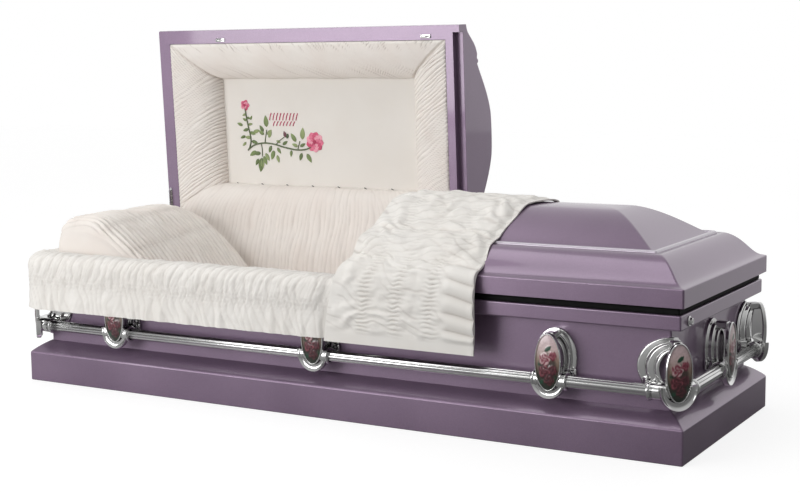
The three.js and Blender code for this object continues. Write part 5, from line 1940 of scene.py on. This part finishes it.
@dataclass
class SmallMetal(Assembly):
    """Latch keepers, lid stay, lock and piano hinge."""

    keeper_x: Point2 = (-801.0, -11.0)
    keeper_inset: float = 37.5
    lock: tuple[float, float] = (-283.0, 348.0)

    def build(self) -> None:
        """Builds and dresses the fittings."""
        for k, x in enumerate(self.keeper_x):
            self._keeper(f"latch_keeper_{k + 1}", x)
        self._lock()
        for node in ("lid_stay", "hinge_body_head", "hinge_body_foot", "hinge_head_lid", "hinge_foot_lid"):
            self.dress_node(node, self.finishes.steel)

    def _keeper(self, node: str, x: float) -> None:
        """A plate with a bent loop that the latch catches."""
        y, low = -(self.lay.half_w - self.keeper_inset), self.lay.lid_low
        plate = box_shell((x - 18, y - 6, low - 3), (x + 18, y + 6, low - 0.3), 1.2)
        bends = [(x - 9, y, low - 1), (x - 9, y, low - 13), (x - 6, y, low - 15), (x + 6, y, low - 15),
                 (x + 9, y, low - 13), (x + 9, y, low - 1)]
        wire = tube_shell(smooth_path(bends, 26), 2.3, 10)
        plate.add(wire.points[0], wire.quads[0], wire.caps)
        for side in (-1, 1):
            screw = np.array([(x + side * 14, y, low - 2.5), (x + side * 14, y, low - 4.4)])
            head = tube_shell(screw, 2.6, 12)
            plate.add(head.points[0], head.quads[0], head.caps)
        plate.points = [self.lay.opened(points) for points in plate.points]
        made = plate.build(f"{node}_visual")
        self.dress(made, self.finishes.chrome, Body.HEAD_LID, Slot.CHROME, node)

    def _lock(self) -> None:
        """The turned lock on the foot end's rail, with its key slot."""
        x0 = self.lay.half_l - 14.0
        profile = [(0.3, 2.0), (0.3, 13.0), (2.6, 13.0), (3.6, 11.8), (3.6, 9.6), (5.0, 9.0), (9.6, 8.4),
                   (10.4, 7.2), (10.4, 5.0), (7.6, 4.6), (7.6, 2.0)]
        turn = 2 * np.pi * np.arange(32) / 32
        rings = np.array([np.column_stack([np.full(32, x0 + x), self.lock[0] + r * np.cos(turn),
                                           self.lock[1] + r * np.sin(turn)])
                          for x, r in fillet(profile, 0.5, 2)])
        made = even_shading(Shells().loft(rings, wrap=True).build("end_lock_visual"))
        self.dress(made, self.finishes.chrome, Body.BOX, Slot.CHROME, "end_lock")


@dataclass
class Studio:
    """Camera, lights, floor and backdrop light."""

    finishes: Finishes
    camera_mm: tuple[float, float, float] = (2204.521, -3687.79, 991.752)
    azimuth: float = 30.004
    elevation: float = 7.320
    roll: float = -0.570
    lens: float = 65.779
    horizon: float = 0.2
    zenith: float = 0.6
    backdrop: float = 0.95

    def build(self) -> None:
        """Builds the stage."""
        self._camera()
        self._floor()
        self._world()
        self._light("key", (-2.5, -4.3, 1.3), (-0.3, 0.0, 0.5), (3.3, 2.4), 118.0)
        self._light("front", (-0.7, -5.4, 2.4), (-0.2, 0.0, 0.4), (2.6, 1.8), 26.0)
        self._light("overhead", (-0.6, -0.7, 3.7), (0.0, 0.0, 0.4), (3.4, 1.3), 25.0)
        bpy.context.scene.view_settings.view_transform = "Standard"

    def _camera(self) -> None:
        """Stands the camera where the photograph was taken from."""
        az, el, roll = (math.radians(v) for v in (self.azimuth, self.elevation, self.roll))
        ahead = Vector((-math.sin(az) * math.cos(el), math.cos(az) * math.cos(el), -math.sin(el)))
        level = Vector((math.cos(az), math.sin(az), 0.0))
        up = level.cross(ahead)
        right = math.cos(roll) * level + math.sin(roll) * up
        upright = -math.sin(roll) * level + math.cos(roll) * up
        camera = bpy.data.cameras.new("photo_camera")
        camera.lens, camera.sensor_width, camera.sensor_fit = self.lens, 36.0, "HORIZONTAL"
        made = bpy.data.objects.new("photo_camera", camera)
        turn = Matrix((right, upright, -ahead)).transposed()
        made.matrix_world = Matrix.Translation(Vector(self.camera_mm) * MM) @ turn.to_4x4()
        bpy.context.scene.collection.objects.link(made)
        bpy.context.scene.camera = made

    def _floor(self) -> None:
        """A wide pale floor just under the casket."""
        floor = box_shell((-14000, -14000, -20.0), (14000, 14000, -0.5)).build("studio_floor")
        floor.data.materials.append(self.finishes.floor)

    def _world(self) -> None:
        """Soft surroundings, brighter overhead, seen as plain white behind the casket."""
        tree = ShaderTree("studio", surroundings=True)
        way = tree.node("ShaderNodeTexCoord", None, None, "Generated")
        up = tree.node("ShaderNodeSeparateXYZ", None, {0: way}, "Z")
        sky = tree.mix(up.between(-0.05, 0.9), [self.horizon] * 3, [self.zenith] * 3)
        behind = tree.node("ShaderNodeSeparateXYZ", None, {0: way}, "Y").between(0.2, 0.8)
        lit = tree.mix(behind, sky, [self.backdrop] * 3)
        colour = tree.mix(tree.seen(), lit, (1.0, 1.0, 1.0))
        bpy.context.scene.world = tree.shown(tree.node("ShaderNodeBackground", None, {"Color": colour}))

    @staticmethod
    def _light(name: str, place: Sequence[float], target: Sequence[float], size: Point2,
               power: float) -> None:
        """A large soft light aimed at a point, in metres, with its width and height."""
        lamp = bpy.data.lights.new(name, "AREA")
        lamp.shape = "RECTANGLE"
        lamp.size, lamp.size_y, lamp.energy = *size, power
        made = bpy.data.objects.new(name, lamp)
        made.location = place
        made.rotation_euler = (Vector(target) - Vector(place)).to_track_quat("-Z", "Y").to_euler()
        bpy.context.scene.collection.objects.link(made)


def main() -> None:
    """Builds every sub-assembly in order."""
    logging.basicConfig(level=logging.INFO, format="%(message)s")
    finishes = Finishes()
    Studio(finishes).build()
    SteelBody(finishes).build()
    SteelLid(finishes, body=Body.HEAD_LID).build()
    SteelLid(finishes, body=Body.FOOT_LID).build()
    LidLining(finishes).build()
    Embroidery(finishes).build()
    Bedding(finishes).build()
    Extendover(finishes).build()
    Overlay(finishes).build()
    BarHardware(finishes).build()
    SmallMetal(finishes).build()


if __name__ == "__main__":
    main()
